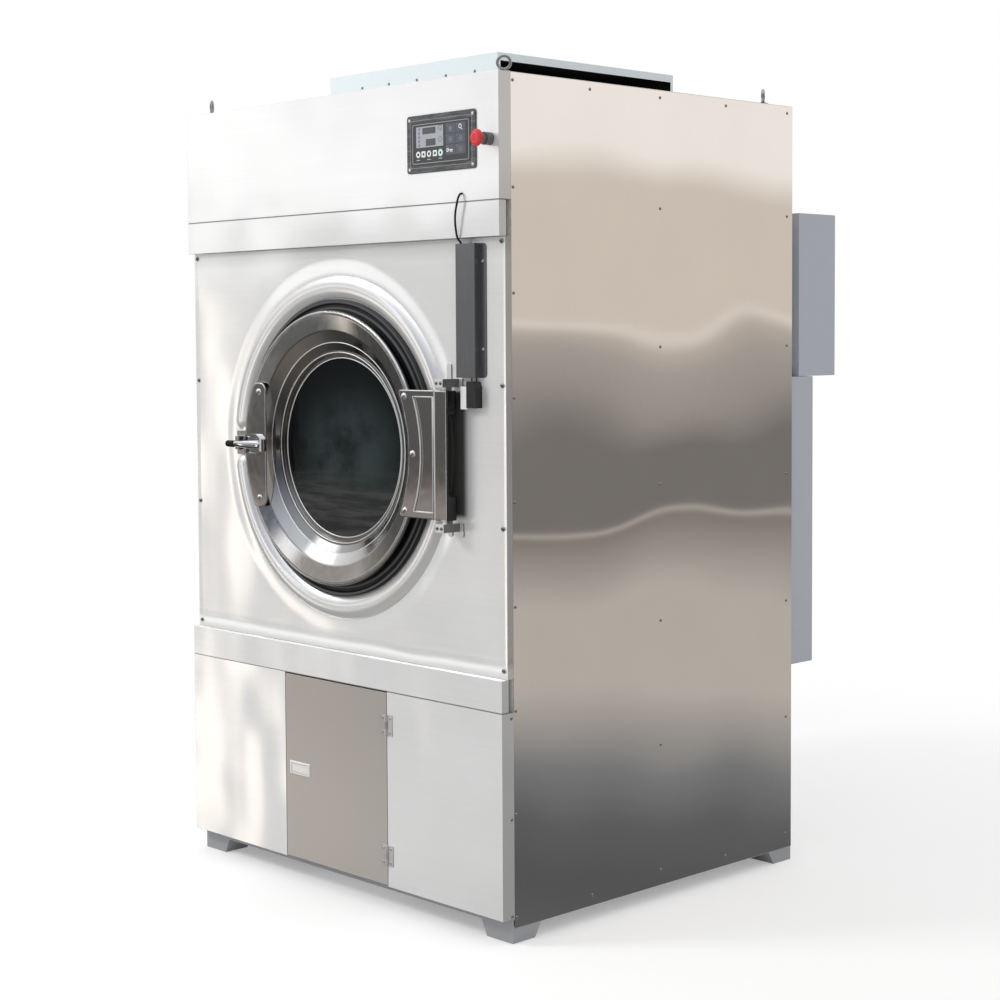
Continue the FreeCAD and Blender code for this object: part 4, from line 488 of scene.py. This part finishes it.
def galvanised_sheet(name, base):
    material, tree, shader, place = new_material(name)
    spangle = add(tree, "ShaderNodeTexVoronoi", {"Vector": place, "Scale": 70.0}).outputs["Color"]
    fleck = axes_of(tree, spangle)["X"]
    tone = mix_colour(tree, fleck, shade(base, 0.85), colour(*base))
    rough_map = spread(tree, fleck, 0.0, 1.0, 0.32, 0.48)
    feed(tree, shader, base=tone, metal=1.0, rough=rough_map)
    return material


def perforated_steel(name, base):
    # Drum sheet whose rows of small holes go round the drum's axis.
    material, tree, shader, place = new_material(name)
    holes_round = 150.0
    rows_per_metre = 45.0
    shell_inside = 0.520
    axes = axes_of(tree, place)
    rise = maths(tree, "SUBTRACT", axes["Z"], door_axis_z)
    turn = times(tree, maths(tree, "ARCTAN2", axes["X"], rise), holes_round / (2.0 * math.pi))
    row = times(tree, axes["Y"], rows_per_metre)
    squares = []
    for count in (turn, row):
        part = maths(tree, "SUBTRACT", maths(tree, "FRACT", count), 0.5)
        squares.append(times(tree, part, part))
    radius = maths(tree, "SQRT", maths(tree, "ADD", *squares))
    in_shell = maths(tree, "GREATER_THAN", axis_distance(tree, place), shell_inside)
    hole = times(tree, spread(tree, radius, 0.17, 0.14), in_shell)
    grain = noise(tree, stretched(tree, place, (200.0, 8.0, 200.0)), 1.0, 3.0)
    tone = mix_colour(tree, grain, shade(base, 0.9), colour(*base))
    tone = mix_colour(tree, hole, tone, colour(0.01, 0.01, 0.01))
    metal = maths(tree, "SUBTRACT", 1.0, hole)
    rough_map = spread(tree, grain, 0.3, 0.7, 0.22, 0.34)
    feed(tree, shader, base=tone, metal=metal, rough=rough_map, normal=bump(tree, hole, -0.001, 0.6))
    return material


def smoked_glass(name):
    # Dark door glass with a thin film of lint dust on it, in clouds above and in level streaks below.
    material, tree, shader, place = new_material(name)
    heights = axes_of(tree, place)["Z"]
    cloud = noise(tree, stretched(tree, place, (4.5, 4.5, 5.5)), 1.0, 5.0, 0.62)
    streak = noise(tree, stretched(tree, place, (5.0, 5.0, 55.0)), 1.0, 4.0, 0.6)
    low_part = ease(tree, heights, door_axis_z - 0.04, door_axis_z - 0.12)
    top_part = ease(tree, heights, door_axis_z + 0.05, door_axis_z + 0.22, 1.0, 0.35)
    centre = (0.03, 0.0, door_axis_z - 0.02)
    apart = add(tree, "ShaderNodeVectorMath", {0: place, 1: centre}, operation="SUBTRACT").outputs[0]
    flat = add(tree, "ShaderNodeVectorMath", {0: apart, 1: (1.0, 0.0, 1.0)}, operation="MULTIPLY").outputs[0]
    distance = add(tree, "ShaderNodeVectorMath", {0: flat}, operation="LENGTH").outputs["Value"]
    middle = ease(tree, distance, 0.27, 0.06)
    haze = times(tree, ease(tree, cloud, 0.28, 0.60), top_part, middle)
    smear = times(tree, ease(tree, streak, 0.40, 0.64), low_part)
    tone = mix_colour(tree, haze, colour(0.006, 0.0075, 0.008), colour(0.034, 0.048, 0.050))
    tone = mix_colour(tree, times(tree, low_part, 0.5), tone, colour(0.036, 0.038, 0.038))
    tone = mix_colour(tree, smear, tone, colour(0.055, 0.058, 0.057))
    rough_map = spread(tree, haze, 0.0, 1.0, 0.05, 0.16)
    feed(tree, shader, base=tone, rough=rough_map, through=0.2, ior=1.45, specular=0.25)
    return material


def hood_steel(name, base):
    # Hood sheet: pale outside, with a blue tint that is painted reflection, and painted black inside as
    # painted shade within the hood.
    material, tree, shader, place = new_material(name)
    axes = axes_of(tree, place)
    limits = (
        ("X", "GREATER_THAN", -0.3345), ("X", "LESS_THAN", 0.3344), ("Y", "GREATER_THAN", hood_face + 0.0008),
        ("Y", "LESS_THAN", 0.3125), ("Z", "LESS_THAN", 2.1592),
    )
    inside = times(tree, *[maths(tree, side, axes[axis], limit) for axis, side, limit in limits])
    grain = noise(tree, stretched(tree, place, (12.0, 900.0, 900.0)), 1.0, 3.0)
    pale = mix_colour(tree, grain, shade(base, 0.94), colour(*base))
    tone = mix_colour(tree, inside, pale, colour(0.012, 0.012, 0.013))
    rough_map = spread(tree, inside, 0.0, 1.0, 0.42, 0.9)
    feed(tree, shader, base=tone, metal=0.0, rough=rough_map, specular=0.3)
    return material


def make_materials():
    upper_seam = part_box("upper_band")[1][2]
    lower_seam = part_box("lower_band")[0][2]
    return {
        "stainless_front": brushed_steel(
            "stainless_front", (0.975, 0.975, 0.97), 0.15, level_brush, 0.42, 0.011, (3.6, 3.6, 2.4),
            side_shade=0.62, seams=(upper_seam, lower_seam),
        ),
        "stainless_side": brushed_steel(
            "stainless_side", (0.97, 0.97, 0.97), 0.035, level_brush, 1.0, 0.011, (1.4, 1.4, 1.1), 0.03,
            scratch=0.003,
        ),
        "lint_door_steel": brushed_steel(
            "lint_door_steel", (0.62, 0.58, 0.54), 0.27, upright_brush, 0.5, 0.002, (2.0, 2.0, 3.0), 0.004,
            scratch=0.0, fade=(0.05, 0.62, 0.20), uneven=0.0,
        ),
        "polished_steel": polished_steel("polished_steel", (0.80, 0.80, 0.81), 0.10),
        "screw_steel": polished_steel("screw_steel", (0.32, 0.32, 0.33), 0.18),
        "chrome_trim": polished_steel("chrome_trim", (0.76, 0.77, 0.79), 0.06, 0.1),
        "wire_cover_steel": brushed_steel("wire_cover_steel", (0.20, 0.205, 0.215), 0.22, upright_brush, 0.7),
        "frame_paint": enamel("frame_paint", (0.48, 0.505, 0.56), 0.45),
        "galvanised": galvanised_sheet("galvanised", (0.62, 0.63, 0.64)),
        "drum_steel": perforated_steel("drum_steel", (0.74, 0.74, 0.73)),
        "cast_parts": moulded("cast_parts", (0.17, 0.18, 0.19), 0.5, 300.0, 0.2),
        "motor_paint": enamel("motor_paint", (0.16, 0.20, 0.27), 0.4, 0.1),
        "black_rubber": moulded("black_rubber", (0.012, 0.012, 0.013), 0.5, 800.0, 0.1, 0.2),
        "dark_glass": smoked_glass("dark_glass"),
        "dark_plastic": moulded("dark_plastic", (0.075, 0.078, 0.082), 0.42),
        "overlay_film": moulded("overlay_film", (0.062, 0.066, 0.070), 0.36, 900.0, 0.04),
        "grey_plastic": moulded("grey_plastic", (0.13, 0.13, 0.135), 0.4),
        "red_plastic": moulded("red_plastic", (0.70, 0.045, 0.055), 0.26, 900.0, 0.03),
        "white_metal": enamel("white_metal", (0.78, 0.79, 0.79), 0.35),
    }


def bezel_metal(name):
    # Dark brushed plate, mottled along its brush lines.
    material, tree, shader, place = new_material(name)
    streak = noise(tree, stretched(tree, place, (26.0, 26.0, 240.0)), 1.0, 4.0, 0.7)
    fine = noise(tree, place, 420.0, 3.0)
    mottle = maths(tree, "ADD", times(tree, streak, 0.7), times(tree, fine, 0.3))
    stops = ((0.34, 0.045, 0.048, 0.052), (0.52, 0.115, 0.12, 0.125), (0.70, 0.24, 0.25, 0.26))
    tone = ramp(tree, mottle, stops)
    rough_map = spread(tree, fine, 0.3, 0.7, 0.32, 0.48)
    feed(tree, shader, base=tone, metal=0.3, rough=rough_map, normal=bump(tree, fine, 0.0002, 0.08))
    return material


def ribbed_rubber(name, groove, crest, pitch):
    # Rubber shown ribbed round the door's axis by paint alone: paler rings as painted highlights on the
    # crests, dark between them.
    material, tree, shader, place = new_material(name)
    rib = maths(tree, "PINGPONG", maths(tree, "DIVIDE", axis_distance(tree, place), pitch), 0.5)
    share = ease(tree, rib, 0.26, 0.46)
    feed(tree, shader, base=mix_colour(tree, share, colour(*groove), colour(*crest)), metal=0.0, rough=0.45)
    return material


def dress_solids(materials):
    bead_low, bead_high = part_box("door_bead")
    bead_reach = (bead_high[2] - bead_low[2]) / 2.0
    panel_low, panel_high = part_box("door_panel")
    ring_low, ring_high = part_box("door_ring")
    ring_radius = (ring_high[2] - ring_low[2]) / 2.0
    hinge_low, hinge_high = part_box("hinge_plate")
    # Where the painted shade beside the hinge plate lies, on the door panel and its bead.
    hinge_shade_bounds = (hinge_high[0] - 0.06, hinge_high[0] + 0.019, hinge_low[2] + 0.006, hinge_high[2] - 0.002)
    plate = polished_steel("plate_steel", (0.72, 0.715, 0.71), 0.06, 0.35, 0.005, 0.08)
    latch_frame = brushed_steel("latch_frame_steel", (0.84, 0.83, 0.80), 0.2, even_brush, 0.2)
    base_paint = enamel("base_paint", (0.37, 0.385, 0.41), 0.5)
    special = {
        "intake_hood": hood_steel("hood_sheet", (0.76, 0.83, 0.855)),
        "top_panel": brushed_steel("roof_steel", (0.93, 0.925, 0.915), 0.25, level_brush, 0.5),
        "hinge_plate": plate,
        "latch_plate": plate,
        "base_rails": base_paint,
        "feet": base_paint,
        "lifting_eyes": galvanised_sheet("eye_steel", (0.42, 0.43, 0.45)),
        "door_bead": brushed_steel(
            "bead_steel", (0.97, 0.97, 0.965), 0.22, fine_brush, 0.62, hinge_shade_bounds=hinge_shade_bounds,
        ),
        "door_panel": brushed_steel(
            "door_sheet", (0.975, 0.975, 0.965), 0.15, level_brush, 0.42, 0.011, (3.6, 3.6, 2.4), 0.06, 0.45,
            bead=(bead_reach, 0.045, 0.0022), hinge_shade_bounds=hinge_shade_bounds,
            edges=(panel_low[0], panel_high[0], panel_low[2], 0.036, 0.0050),
            # The top of the door panel darkens as painted shade under the upper band.
            fade=(panel_high[2] - 0.055, panel_high[2] - 0.008, 0.20),
        ),
        "lower_left_panel": brushed_steel(
            "lower_left_sheet", (0.975, 0.975, 0.97), 0.15, level_brush, 0.42, 0.013, (3.6, 3.6, 3.2),
            side_shade=0.62, lean=0.015,
        ),
        "latch_bezel": latch_frame,
        "latch_paddle": latch_frame,
        "lint_hinge_leaves": brushed_steel("leaf_steel", (0.60, 0.60, 0.59), 0.22, even_brush, 0.4),
        "hinge_blocks": brushed_steel(
            "block_steel", (0.86, 0.855, 0.85), 0.2, even_brush, 0.45, side_shade=0.2,
        ),
        "door_gasket": ribbed_rubber("gasket_rubber", (0.010, 0.010, 0.011), (0.085, 0.088, 0.094), 0.016),
        "corner_posts": brushed_steel("post_steel", (0.88, 0.87, 0.855), 0.3, upright_brush, 0.1),
        "control_bezel": bezel_metal("bezel_metal"),
        "door_ring": polished_steel(
            "ring_steel", (0.70, 0.695, 0.69), 0.13, 0.0, 0.0025, wall=ring_radius, inner=funnel_step,
        ),
        "door_switch": moulded("switch_black", (0.018, 0.018, 0.019), 0.4),
    }
    for part in frame["record"]["subparts"]:
        solid = cad_nodes[part["node"]]
        material = special.get(part["node"], materials[part["material_slot"]])
        solid.data.materials.clear()
        solid.data.materials.append(material)


# Mesh helpers
def object_from(name, mesh_data, material, body):
    mesh = bpy.data.meshes.new(name)
    bmesh.ops.recalc_face_normals(mesh_data, faces=mesh_data.faces[:])
    mesh_data.to_mesh(mesh)
    mesh_data.free()
    mesh.materials.append(material)
    made = bpy.data.objects.new(name, mesh)
    scene.collection.objects.link(made)
    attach(made, body)


def skin(mesh_data, loops, smooth=False):
    # Faces between neighbouring loops of as many corners each.
    for first, second in zip(loops, loops[1:]):
        for index in range(len(first)):
            after = (index + 1) % len(first)
            face = mesh_data.faces.new((first[index], first[after], second[after], second[index]))
            face.smooth = smooth


def circle_outline(x, z, radius, steps=20):
    points = []
    for step in range(steps):
        angle = 2.0 * math.pi * step / steps
        points.append((x + radius * math.cos(angle), z + radius * math.sin(angle)))
    return points


def lathe(mesh_data, centre, normal, outline, steps, tip=None):
    # Turns an outline of (radius, height) about a level normal; a tip is the height where a last fan meets.
    axis = Vector(normal)
    first = Vector((0.0, 0.0, 1.0)).cross(axis)
    second = axis.cross(first)
    rings = []
    for radius, height in outline:
        base = Vector(centre) + axis * height
        circle = circle_outline(0.0, 0.0, radius, steps)
        rings.append([mesh_data.verts.new(base + first * along + second * up) for along, up in circle])
    skin(mesh_data, rings, True)
    if tip is None:
        return
    point = mesh_data.verts.new(Vector(centre) + axis * tip)
    for step, corner in enumerate(rings[-1]):
        face = mesh_data.faces.new((corner, rings[-1][(step + 1) % steps], point))
        face.smooth = True


def screw_heads(name, places, normal, radius, height, material, body):
    # Low domed heads with a round socket in the middle.
    mesh_data = bmesh.new()
    profile = ((1.0, -0.1), (1.0, 0.3), (0.78, 0.82), (0.48, 1.0), (0.40, 1.0), (0.34, 0.35))
    outline = [(radius * out, height * up) for out, up in profile]
    for place in places:
        lathe(mesh_data, place, normal, outline, 14, height * 0.30)
    object_from(name, mesh_data, material, body)


def rounded_outline(left, right, low, high, radius, steps=5):
    corners = (
        (right - radius, high - radius, 0.0), (left + radius, high - radius, 90.0),
        (left + radius, low + radius, 180.0), (right - radius, low + radius, 270.0),
    )
    points = []
    for x, z, start in corners:
        for step in range(steps + 1):
            angle = math.radians(start + 90.0 * step / steps)
            points.append((x + radius * math.cos(angle), z + radius * math.sin(angle)))
    return points


def loop_at(mesh_data, points, y):
    return [mesh_data.verts.new((x, y, z)) for x, z in points]


def print_patch(mesh_data, points, back, front):
    # A printed or moulded patch: a flat shape in X and Z with a small thickness along Y.
    loops = [loop_at(mesh_data, points, y) for y in (back, front)]
    mesh_data.faces.new(loops[1])
    skin(mesh_data, loops)


def print_bar(mesh_data, x, z, half_x, half_z, radius, back, front):
    outline = rounded_outline(x - half_x, x + half_x, z - half_z, z + half_z, radius)
    print_patch(mesh_data, outline, back, front)


def print_frame(mesh_data, outer, inner, back, front):
    # A printed line between two outlines with as many points each.
    sections = ((outer, back), (outer, front), (inner, front), (inner, back))
    skin(mesh_data, [loop_at(mesh_data, points, y) for points, y in sections])


def print_ring(mesh_data, x, z, outer, inner, back, front, steps=20):
    outlines = [circle_outline(x, z, radius, steps) for radius in (outer, inner)]
    print_frame(mesh_data, *outlines, back, front)


# Panel screws and hinge screws
def make_screws(materials):
    steel = materials["polished_steel"]
    dark_steel = materials["screw_steel"]
    top_row = 2.041
    low_row = 0.062
    front_heights = (top_row, 1.793, 1.546, 1.300, 1.054, 0.806, 0.558, 0.310, low_row)
    inner_heights = (top_row, 1.764, 1.416, 1.068, 0.720, 0.400, 0.076)
    columns = (
        (-0.586, front_heights), (-0.070, inner_heights), (0.445, inner_heights),
        (-0.325, (top_row, low_row)), (0.188, (top_row, low_row)), (-0.6005, (0.542, 0.300, 0.067)),
    )
    for name, x, normal in (("right_side_screws", side_face, 1.0), ("left_side_screws", -side_face, -1.0)):
        places = [(x, y, z) for y, heights in columns for z in heights]
        screw_heads(name, places, (normal, 0.0, 0.0), 0.0042, 0.0016, dark_steel, "cabinet")
    front = []
    for z in (1.665, 1.327, 0.990, 0.653):
        front.append((-0.613, door_face, z))
        front.append((0.6145, door_face, z + 0.002))
    cover = [(0.5505, door_face - 0.0015, z) for z in (1.622, 1.414)]
    hood = [(x, hood_face, 2.120) for x in (-0.197, -0.086, 0.027, 0.141, 0.251)]
    blocks = [(x, door_face - 0.056, z) for x in (0.4445, 0.4595) for z in (0.986, 1.334)]
    leaf_face = proud_face - 0.002
    leaf_heights = (0.122, 0.158, 0.454, 0.490)
    fixed_leaves = [(0.2225, leaf_face, z) for z in leaf_heights]
    door_leaves = [(0.1945, leaf_face, z) for z in leaf_heights]
    sets = (
        ("door_panel_screws", front, 0.0058, 0.0042, dark_steel, "cabinet"),
        ("cover_screws", cover, 0.0042, 0.002, steel, "cabinet"),
        ("hood_screws", hood, 0.004, 0.002, dark_steel, "cabinet"),
        ("hinge_block_screws", blocks, 0.0045, 0.003, dark_steel, "cabinet"),
        ("lint_leaf_screws", fixed_leaves, 0.0035, 0.0015, steel, "cabinet"),
        ("lint_door_screws", door_leaves, 0.0035, 0.0015, steel, "lint_hatch"),
    )
    for name, places, radius, height, material, body in sets:
        screw_heads(name, places, forward, radius, height, material, body)
    bezel = [(x, bezel_face, z) for x in (0.317, 0.542) for z in (1.8495, 1.968)]
    white = materials["white_metal"]
    screw_heads("bezel_screws", bezel, forward, 0.0040, 0.0014, white, "cabinet")


# Screws of the rear panel and the belt guard, and the door line and locks of the electrical box
def make_back_fittings(materials):
    dark_steel = materials["screw_steel"]
    rear_low, rear_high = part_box("rear_panel")
    guard_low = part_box("belt_guard")[0]
    box_low, box_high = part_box("electrical_box")
    rear_face = rear_high[1]
    flange_face = rear_face + 0.0015
    edge = 0.022
    top_row = 2.035
    low_row = 0.085
    rear = []
    for z in (0.32, 0.56, 0.80, 1.04, 1.28, 1.52, 1.78, top_row):
        rear.append((rear_low[0] + edge, rear_face, z))
    for z in (low_row, 0.30, 1.90, top_row):
        rear.append((rear_high[0] - edge, rear_face, z))
    for x in (-0.30, 0.0, 0.30):
        rear.append((x, rear_face, top_row))
    for x in (-0.15, 0.10, 0.35):
        rear.append((x, rear_face, low_row))
    screw_heads("rear_panel_screws", rear, backward, 0.0055, 0.003, dark_steel, "cabinet")
    flange = 0.0075
    guard = []
    for z in (0.60, 0.80, 1.00, 1.20):
        guard.append((guard_low[0] + flange, flange_face, z))
    for x in (-0.15, 0.05, 0.25, 0.45):
        guard.append((x, flange_face, guard_low[2] + flange))
    screw_heads("guard_screws", guard, backward, 0.0050, 0.003, dark_steel, "cabinet")
    door_line = bmesh.new()
    inset = 0.014
    width = 0.0018
    outlines = []
    for margin, radius in ((inset, 0.006), (inset + width, 0.005)):
        left = box_low[0] + margin
        right = box_high[0] - margin
        outlines.append(rounded_outline(left, right, box_low[2] + margin, box_high[2] - margin, radius))
    print_frame(door_line, *outlines, box_high[1], box_high[1] + 0.0002)
    line_paint = moulded("seam_shade", (0.06, 0.06, 0.065), 0.6, 600.0, 0.05)
    object_from("box_door_line", door_line, line_paint, "cabinet")
    locks = [(box_low[0] + 0.034, box_high[1], box_low[2] + rise) for rise in (0.10, 0.346)]
    plastic = materials["dark_plastic"]
    screw_heads("box_locks", locks, backward, 0.011, 0.0016, plastic, "cabinet")


# Control panel print: outlines, display field, displays, icons and keys
def ink(name, base, rough=0.38, depth=0.02):
    fine_grain = 900.0
    return moulded(name, base, rough, fine_grain, depth)


def printed(name, mesh_data, material):
    object_from(name, mesh_data, material, "cabinet")


def make_control_print():
    dark_ink = ink("dark_ink", (0.035, 0.038, 0.042))
    step = 0.00012
    layer_one = overlay_face - step
    layer_two = overlay_face - 2.0 * step
    layer_three = overlay_face - 3.0 * step

    lines = bmesh.new()
    outer = rounded_outline(0.3190, 0.5400, 1.8515, 1.9665, 0.007)
    inner = rounded_outline(0.3200, 0.5390, 1.8525, 1.9655, 0.006)
    print_frame(lines, outer, inner, bezel_face, bezel_face - step)
    outer = rounded_outline(0.3288, 0.5302, 1.8613, 1.9567, 0.005)
    inner = rounded_outline(0.3306, 0.5284, 1.8631, 1.9549, 0.0035)
    print_frame(lines, outer, inner, overlay_face, layer_one)
    printed("panel_lines", lines, ink("line_ink", (0.36, 0.37, 0.38), 0.4))

    field = bmesh.new()
    print_patch(field, rounded_outline(0.3430, 0.4400, 1.9000, 1.9500, 0.0015), overlay_face, layer_one)
    printed("display_field", field, ink("field_ink", (0.43, 0.45, 0.49), 0.36))

    displays = bmesh.new()
    print_patch(displays, rounded_outline(0.3655, 0.4130, 1.9315, 1.9470, 0.001), layer_one, layer_two)
    print_patch(displays, rounded_outline(0.3780, 0.4130, 1.9030, 1.9195, 0.001), layer_one, layer_two)
    printed("displays", displays, ink("display_ink", (0.095, 0.095, 0.105), 0.15, 0.01))

    marks = bmesh.new()
    left_marks = 0.3540
    for index in range(5):
        z = 1.9055 + index * 0.0097
        print_ring(marks, left_marks, z, 0.0034, 0.0026, layer_one, layer_two)
        print_bar(marks, left_marks, z, 0.001, 0.001, 0.0004, layer_one, layer_two)
    right_marks = 0.4290
    for z in (1.9440, 1.9160):
        print_ring(marks, right_marks, z, 0.0058, 0.0048, layer_one, layer_two)
        for x_dot, z_dot in circle_outline(right_marks, z, 0.0076, 8):
            print_patch(marks, circle_outline(x_dot, z_dot, 0.0006, 8), layer_one, layer_two)
    printed("display_marks", marks, dark_ink)

    key_row = 1.884
    start_key = 0.430
    round_keys = (0.350, 0.389)
    square_keys = (0.369, 0.410)
    white = bmesh.new()
    for x in (*round_keys, start_key):
        print_patch(white, circle_outline(x, key_row, 0.0078, 28), overlay_face, layer_one)
        print_bar(white, x, 1.8706, 0.006, 0.0006, 0.0004, overlay_face, layer_one)
    for x in square_keys:
        print_bar(white, x, key_row, 0.0072, 0.0072, 0.0015, overlay_face, layer_one)
    print_ring(white, 0.5000, 1.9415, 0.0055, 0.0034, layer_one, layer_three)
    tail = ((0.5030, 1.9390), (0.5082, 1.9338), (0.5066, 1.9322), (0.5014, 1.9374))
    print_patch(white, tail, layer_one, layer_three)
    print_ring(white, 0.4560, 1.8880, 0.0046, 0.0022, layer_one, layer_three)
    print_patch(white, rounded_outline(0.4600, 0.4735, 1.8866, 1.8894, 0.0005), layer_one, layer_three)
    for x in (0.4668, 0.4712):
        print_bar(white, x, 1.8848, 0.0012, 0.0022, 0.0004, layer_one, layer_three)
    printed("white_print", white, ink("white_ink", (0.86, 0.87, 0.87)))

    centres = bmesh.new()
    for x in round_keys:
        print_patch(centres, circle_outline(x, key_row, 0.0036), layer_one, layer_two)
    for x in square_keys:
        print_bar(centres, x, key_row, 0.003, 0.003, 0.0006, layer_one, layer_two)
    print_patch(centres, circle_outline(start_key, key_row, 0.0032), layer_one, layer_two)
    printed("key_centres", centres, dark_ink)

    green = bmesh.new()
    print_ring(green, start_key, key_row, 0.0102, 0.0082, overlay_face, layer_two, 28)
    printed("start_ring", green, ink("green_ink", (0.05, 0.42, 0.27)))

    keys = bmesh.new()
    dim = bmesh.new()
    lit_keys = ((1, 2), (0, 0))
    for column in range(2):
        for row in range(3):
            left = 0.4490 + column * 0.0350
            low = 1.8770 + row * 0.0252
            outline = rounded_outline(left, left + 0.0340, low, low + 0.0236, 0.0012)
            print_patch(keys, outline, overlay_face, layer_one)
            print_bar(dim, left + 0.003, low + 0.0195, 0.001, 0.0015, 0.0004, layer_one, layer_two)
            if (column, row) in lit_keys:
                continue
            x = left + 0.0170
            z = low + 0.0115
            print_ring(dim, x, z, 0.0066, 0.0054, layer_one, layer_two)
            print_bar(dim, x, z, 0.003, 0.0009 + 0.0011 * row, 0.0004, layer_one, layer_two)
    printed("program_keys", keys, ink("key_ink", (0.115, 0.125, 0.15), 0.36))
    printed("program_icons", dim, ink("dim_ink", (0.26, 0.275, 0.31)))


# Round lines
def round_line(name, kind, points, radius, rounding, material):
    curve = bpy.data.curves.new(name, "CURVE")
    curve.dimensions = "3D"
    curve.bevel_depth = radius
    curve.bevel_resolution = rounding
    curve.materials.append(material)
    spline = curve.splines.new(kind)
    spline.points.add(len(points) - 1)
    for control, point in zip(spline.points, points):
        control.co = (*point, 1.0)
    made = bpy.data.objects.new(name, curve)
    scene.collection.objects.link(made)
    return made, spline


# Bright rolled folds round the glass, round the pocket of the hinge plate and along its box
def fold_line(name, points, cyclic, material):
    fold_radius = 0.0015
    made, spline = round_line(name, "POLY", points, fold_radius, 3, material)
    made.data.use_fill_caps = not cyclic
    spline.use_cyclic_u = cyclic
    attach(made, "door")


def make_door_folds():
    steel = brushed_steel("fold_steel", (0.95, 0.95, 0.95), 0.16, even_brush, 0.55)
    ring_low, ring_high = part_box("door_ring")
    ring_radius = (ring_high[2] - ring_low[2]) / 2.0
    low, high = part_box("hinge_plate")
    box_width = 0.042
    joggle = 0.010
    rise = 0.006
    margin = 0.016
    box_left = high[0] - box_width
    pocket_right = box_left - joggle - margin / 4.0
    arc_radius = ring_radius + margin
    face = low[1] + rise
    pocket_low = low[2] + margin
    pocket_high = high[2] - margin
    steps = 24
    points = []
    for step in range(steps + 1):
        z = pocket_low + (pocket_high - pocket_low) * step / steps
        points.append((math.sqrt(arc_radius ** 2 - (z - door_axis_z) ** 2), face, z))
    points.append((pocket_right, face, pocket_high))
    points.append((pocket_right, face, pocket_low))
    fold_line("hinge_pocket_fold", points, True, steel)
    ends = [(box_left, low[1], z) for z in (low[2] + 0.001, high[2] - 0.001)]
    fold_line("hinge_box_fold", ends, False, steel)
    glass_low, glass_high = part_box("door_glass")
    lip_radius = (glass_high[2] - glass_low[2]) / 2.0 - 0.008
    seat = glass_low[1] - 0.0025
    rings = (
        ("glass_lip_fold", lip_radius, seat),
        ("glass_ledge_fold", lip_radius + 0.0145, seat - 0.010),
        ("funnel_step_fold", funnel_step, seat - 0.0220),
    )
    for name, radius, y in rings:
        circle = [(x, y, z) for x, z in circle_outline(0.0, door_axis_z, radius, 120)]
        fold_line(name, circle, True, steel)


# Thin paler red ring on the face of the emergency stop, as a painted highlight
def make_stop_ring():
    mesh_data = bmesh.new()
    crown = (estop_place[0], proud_face - estop_reach, estop_place[1])
    outline = ((0.0092, -0.0009), (0.0094, -0.00055), (0.0112, -0.00070), (0.0115, -0.0014))
    lathe(mesh_data, crown, forward, outline, 40)
    pale_red = moulded("pale_red", (0.74, 0.13, 0.12), 0.3, 900.0, 0.03)
    object_from("stop_ring", mesh_data, pale_red, "estop_mushroom")


# Rubber grip on the tip of the latch lever
def make_grip(materials):
    mesh_data = bmesh.new()
    middle_y = door_face - 0.060
    sections = (
        (-0.3690, 0.0066, 0.0088), (-0.3705, 0.0070, 0.0092), (-0.3980, 0.0068, 0.0088),
        (-0.4015, 0.0058, 0.0076), (-0.4030, 0.0035, 0.0048),
    )
    rings = []
    for x, half_y, half_z in sections:
        ring = []
        for y, z in circle_outline(0.0, 0.0, 1.0):
            ring.append(mesh_data.verts.new((x, middle_y + half_y * y, door_axis_z + half_z * z)))
        rings.append(ring)
    skin(mesh_data, rings, True)
    mesh_data.faces.new(rings[0])
    mesh_data.faces.new(rings[-1])
    object_from("lever_grip", mesh_data, materials["black_rubber"], "handle")


# Cable from the upper panel into the wire cover, and the two leads of the door switch
def smooth_line(name, points, radius, material):
    made, spline = round_line(name, "NURBS", points, radius, 4, material)
    made.data.resolution_u = 10
    made.data.use_fill_caps = True
    spline.order_u = 3
    spline.use_endpoint_u = True
    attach(made, "cabinet")
    return made


def make_cable(materials):
    at_hole = (
        (0.0, -4.0, 0.0), (0.0, 4.0, 0.0), (-0.7, 9.0, -5.0), (-2.0, 12.5, -15.0), (-4.5, 13.5, -28.0),
    )
    at_band = (
        (-9.5, 13.5, 60.0), (-12.0, 12.0, 38.0), (-12.5, 9.0, 19.0), (-12.2, 5.0, -1.0),
        (-11.7, -6.0, -9.5), (-10.7, -11.0, -24.0),
    )
    at_seat = ((-10.0, 2.2, -42.0), (-9.7, 0.3, -61.0), (-9.6, 0.0, -78.0))
    x_hole, z_hole = cable_hole
    stretches = (
        (at_hole, proud_face, z_hole),
        (at_band, proud_face, upper_band_bottom),
        (at_seat, cable_seat, upper_band_bottom),
    )
    points = []
    for offsets, y, z in stretches:
        for right, ahead, up in offsets:
            points.append((x_hole + right / 1000.0, y - ahead / 1000.0, z + up / 1000.0))
    cable_radius = 0.0025
    lead_radius = 0.0016
    cable = smooth_line("switch_cable", points, cable_radius, materials["black_rubber"])
    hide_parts("door_cable")
    for name, x in (("switch_lead_left", 0.5195), ("switch_lead_right", 0.5355)):
        y = door_face - 0.009
        lead_points = ((x, y, 1.326), (x, y, 1.334), (x, y - 0.0010, 1.343), (x, y, 1.351), (x, y, 1.359))
        lead = smooth_line(name, lead_points, lead_radius, materials["black_rubber"])


place_camera()
make_world()
make_lamp()
make_floor()
slot_materials = make_materials()
dress_solids(slot_materials)
make_cable(slot_materials)
make_screws(slot_materials)
make_back_fittings(slot_materials)
make_control_print()
make_door_folds()
make_stop_ring()
make_grip(slot_materials)
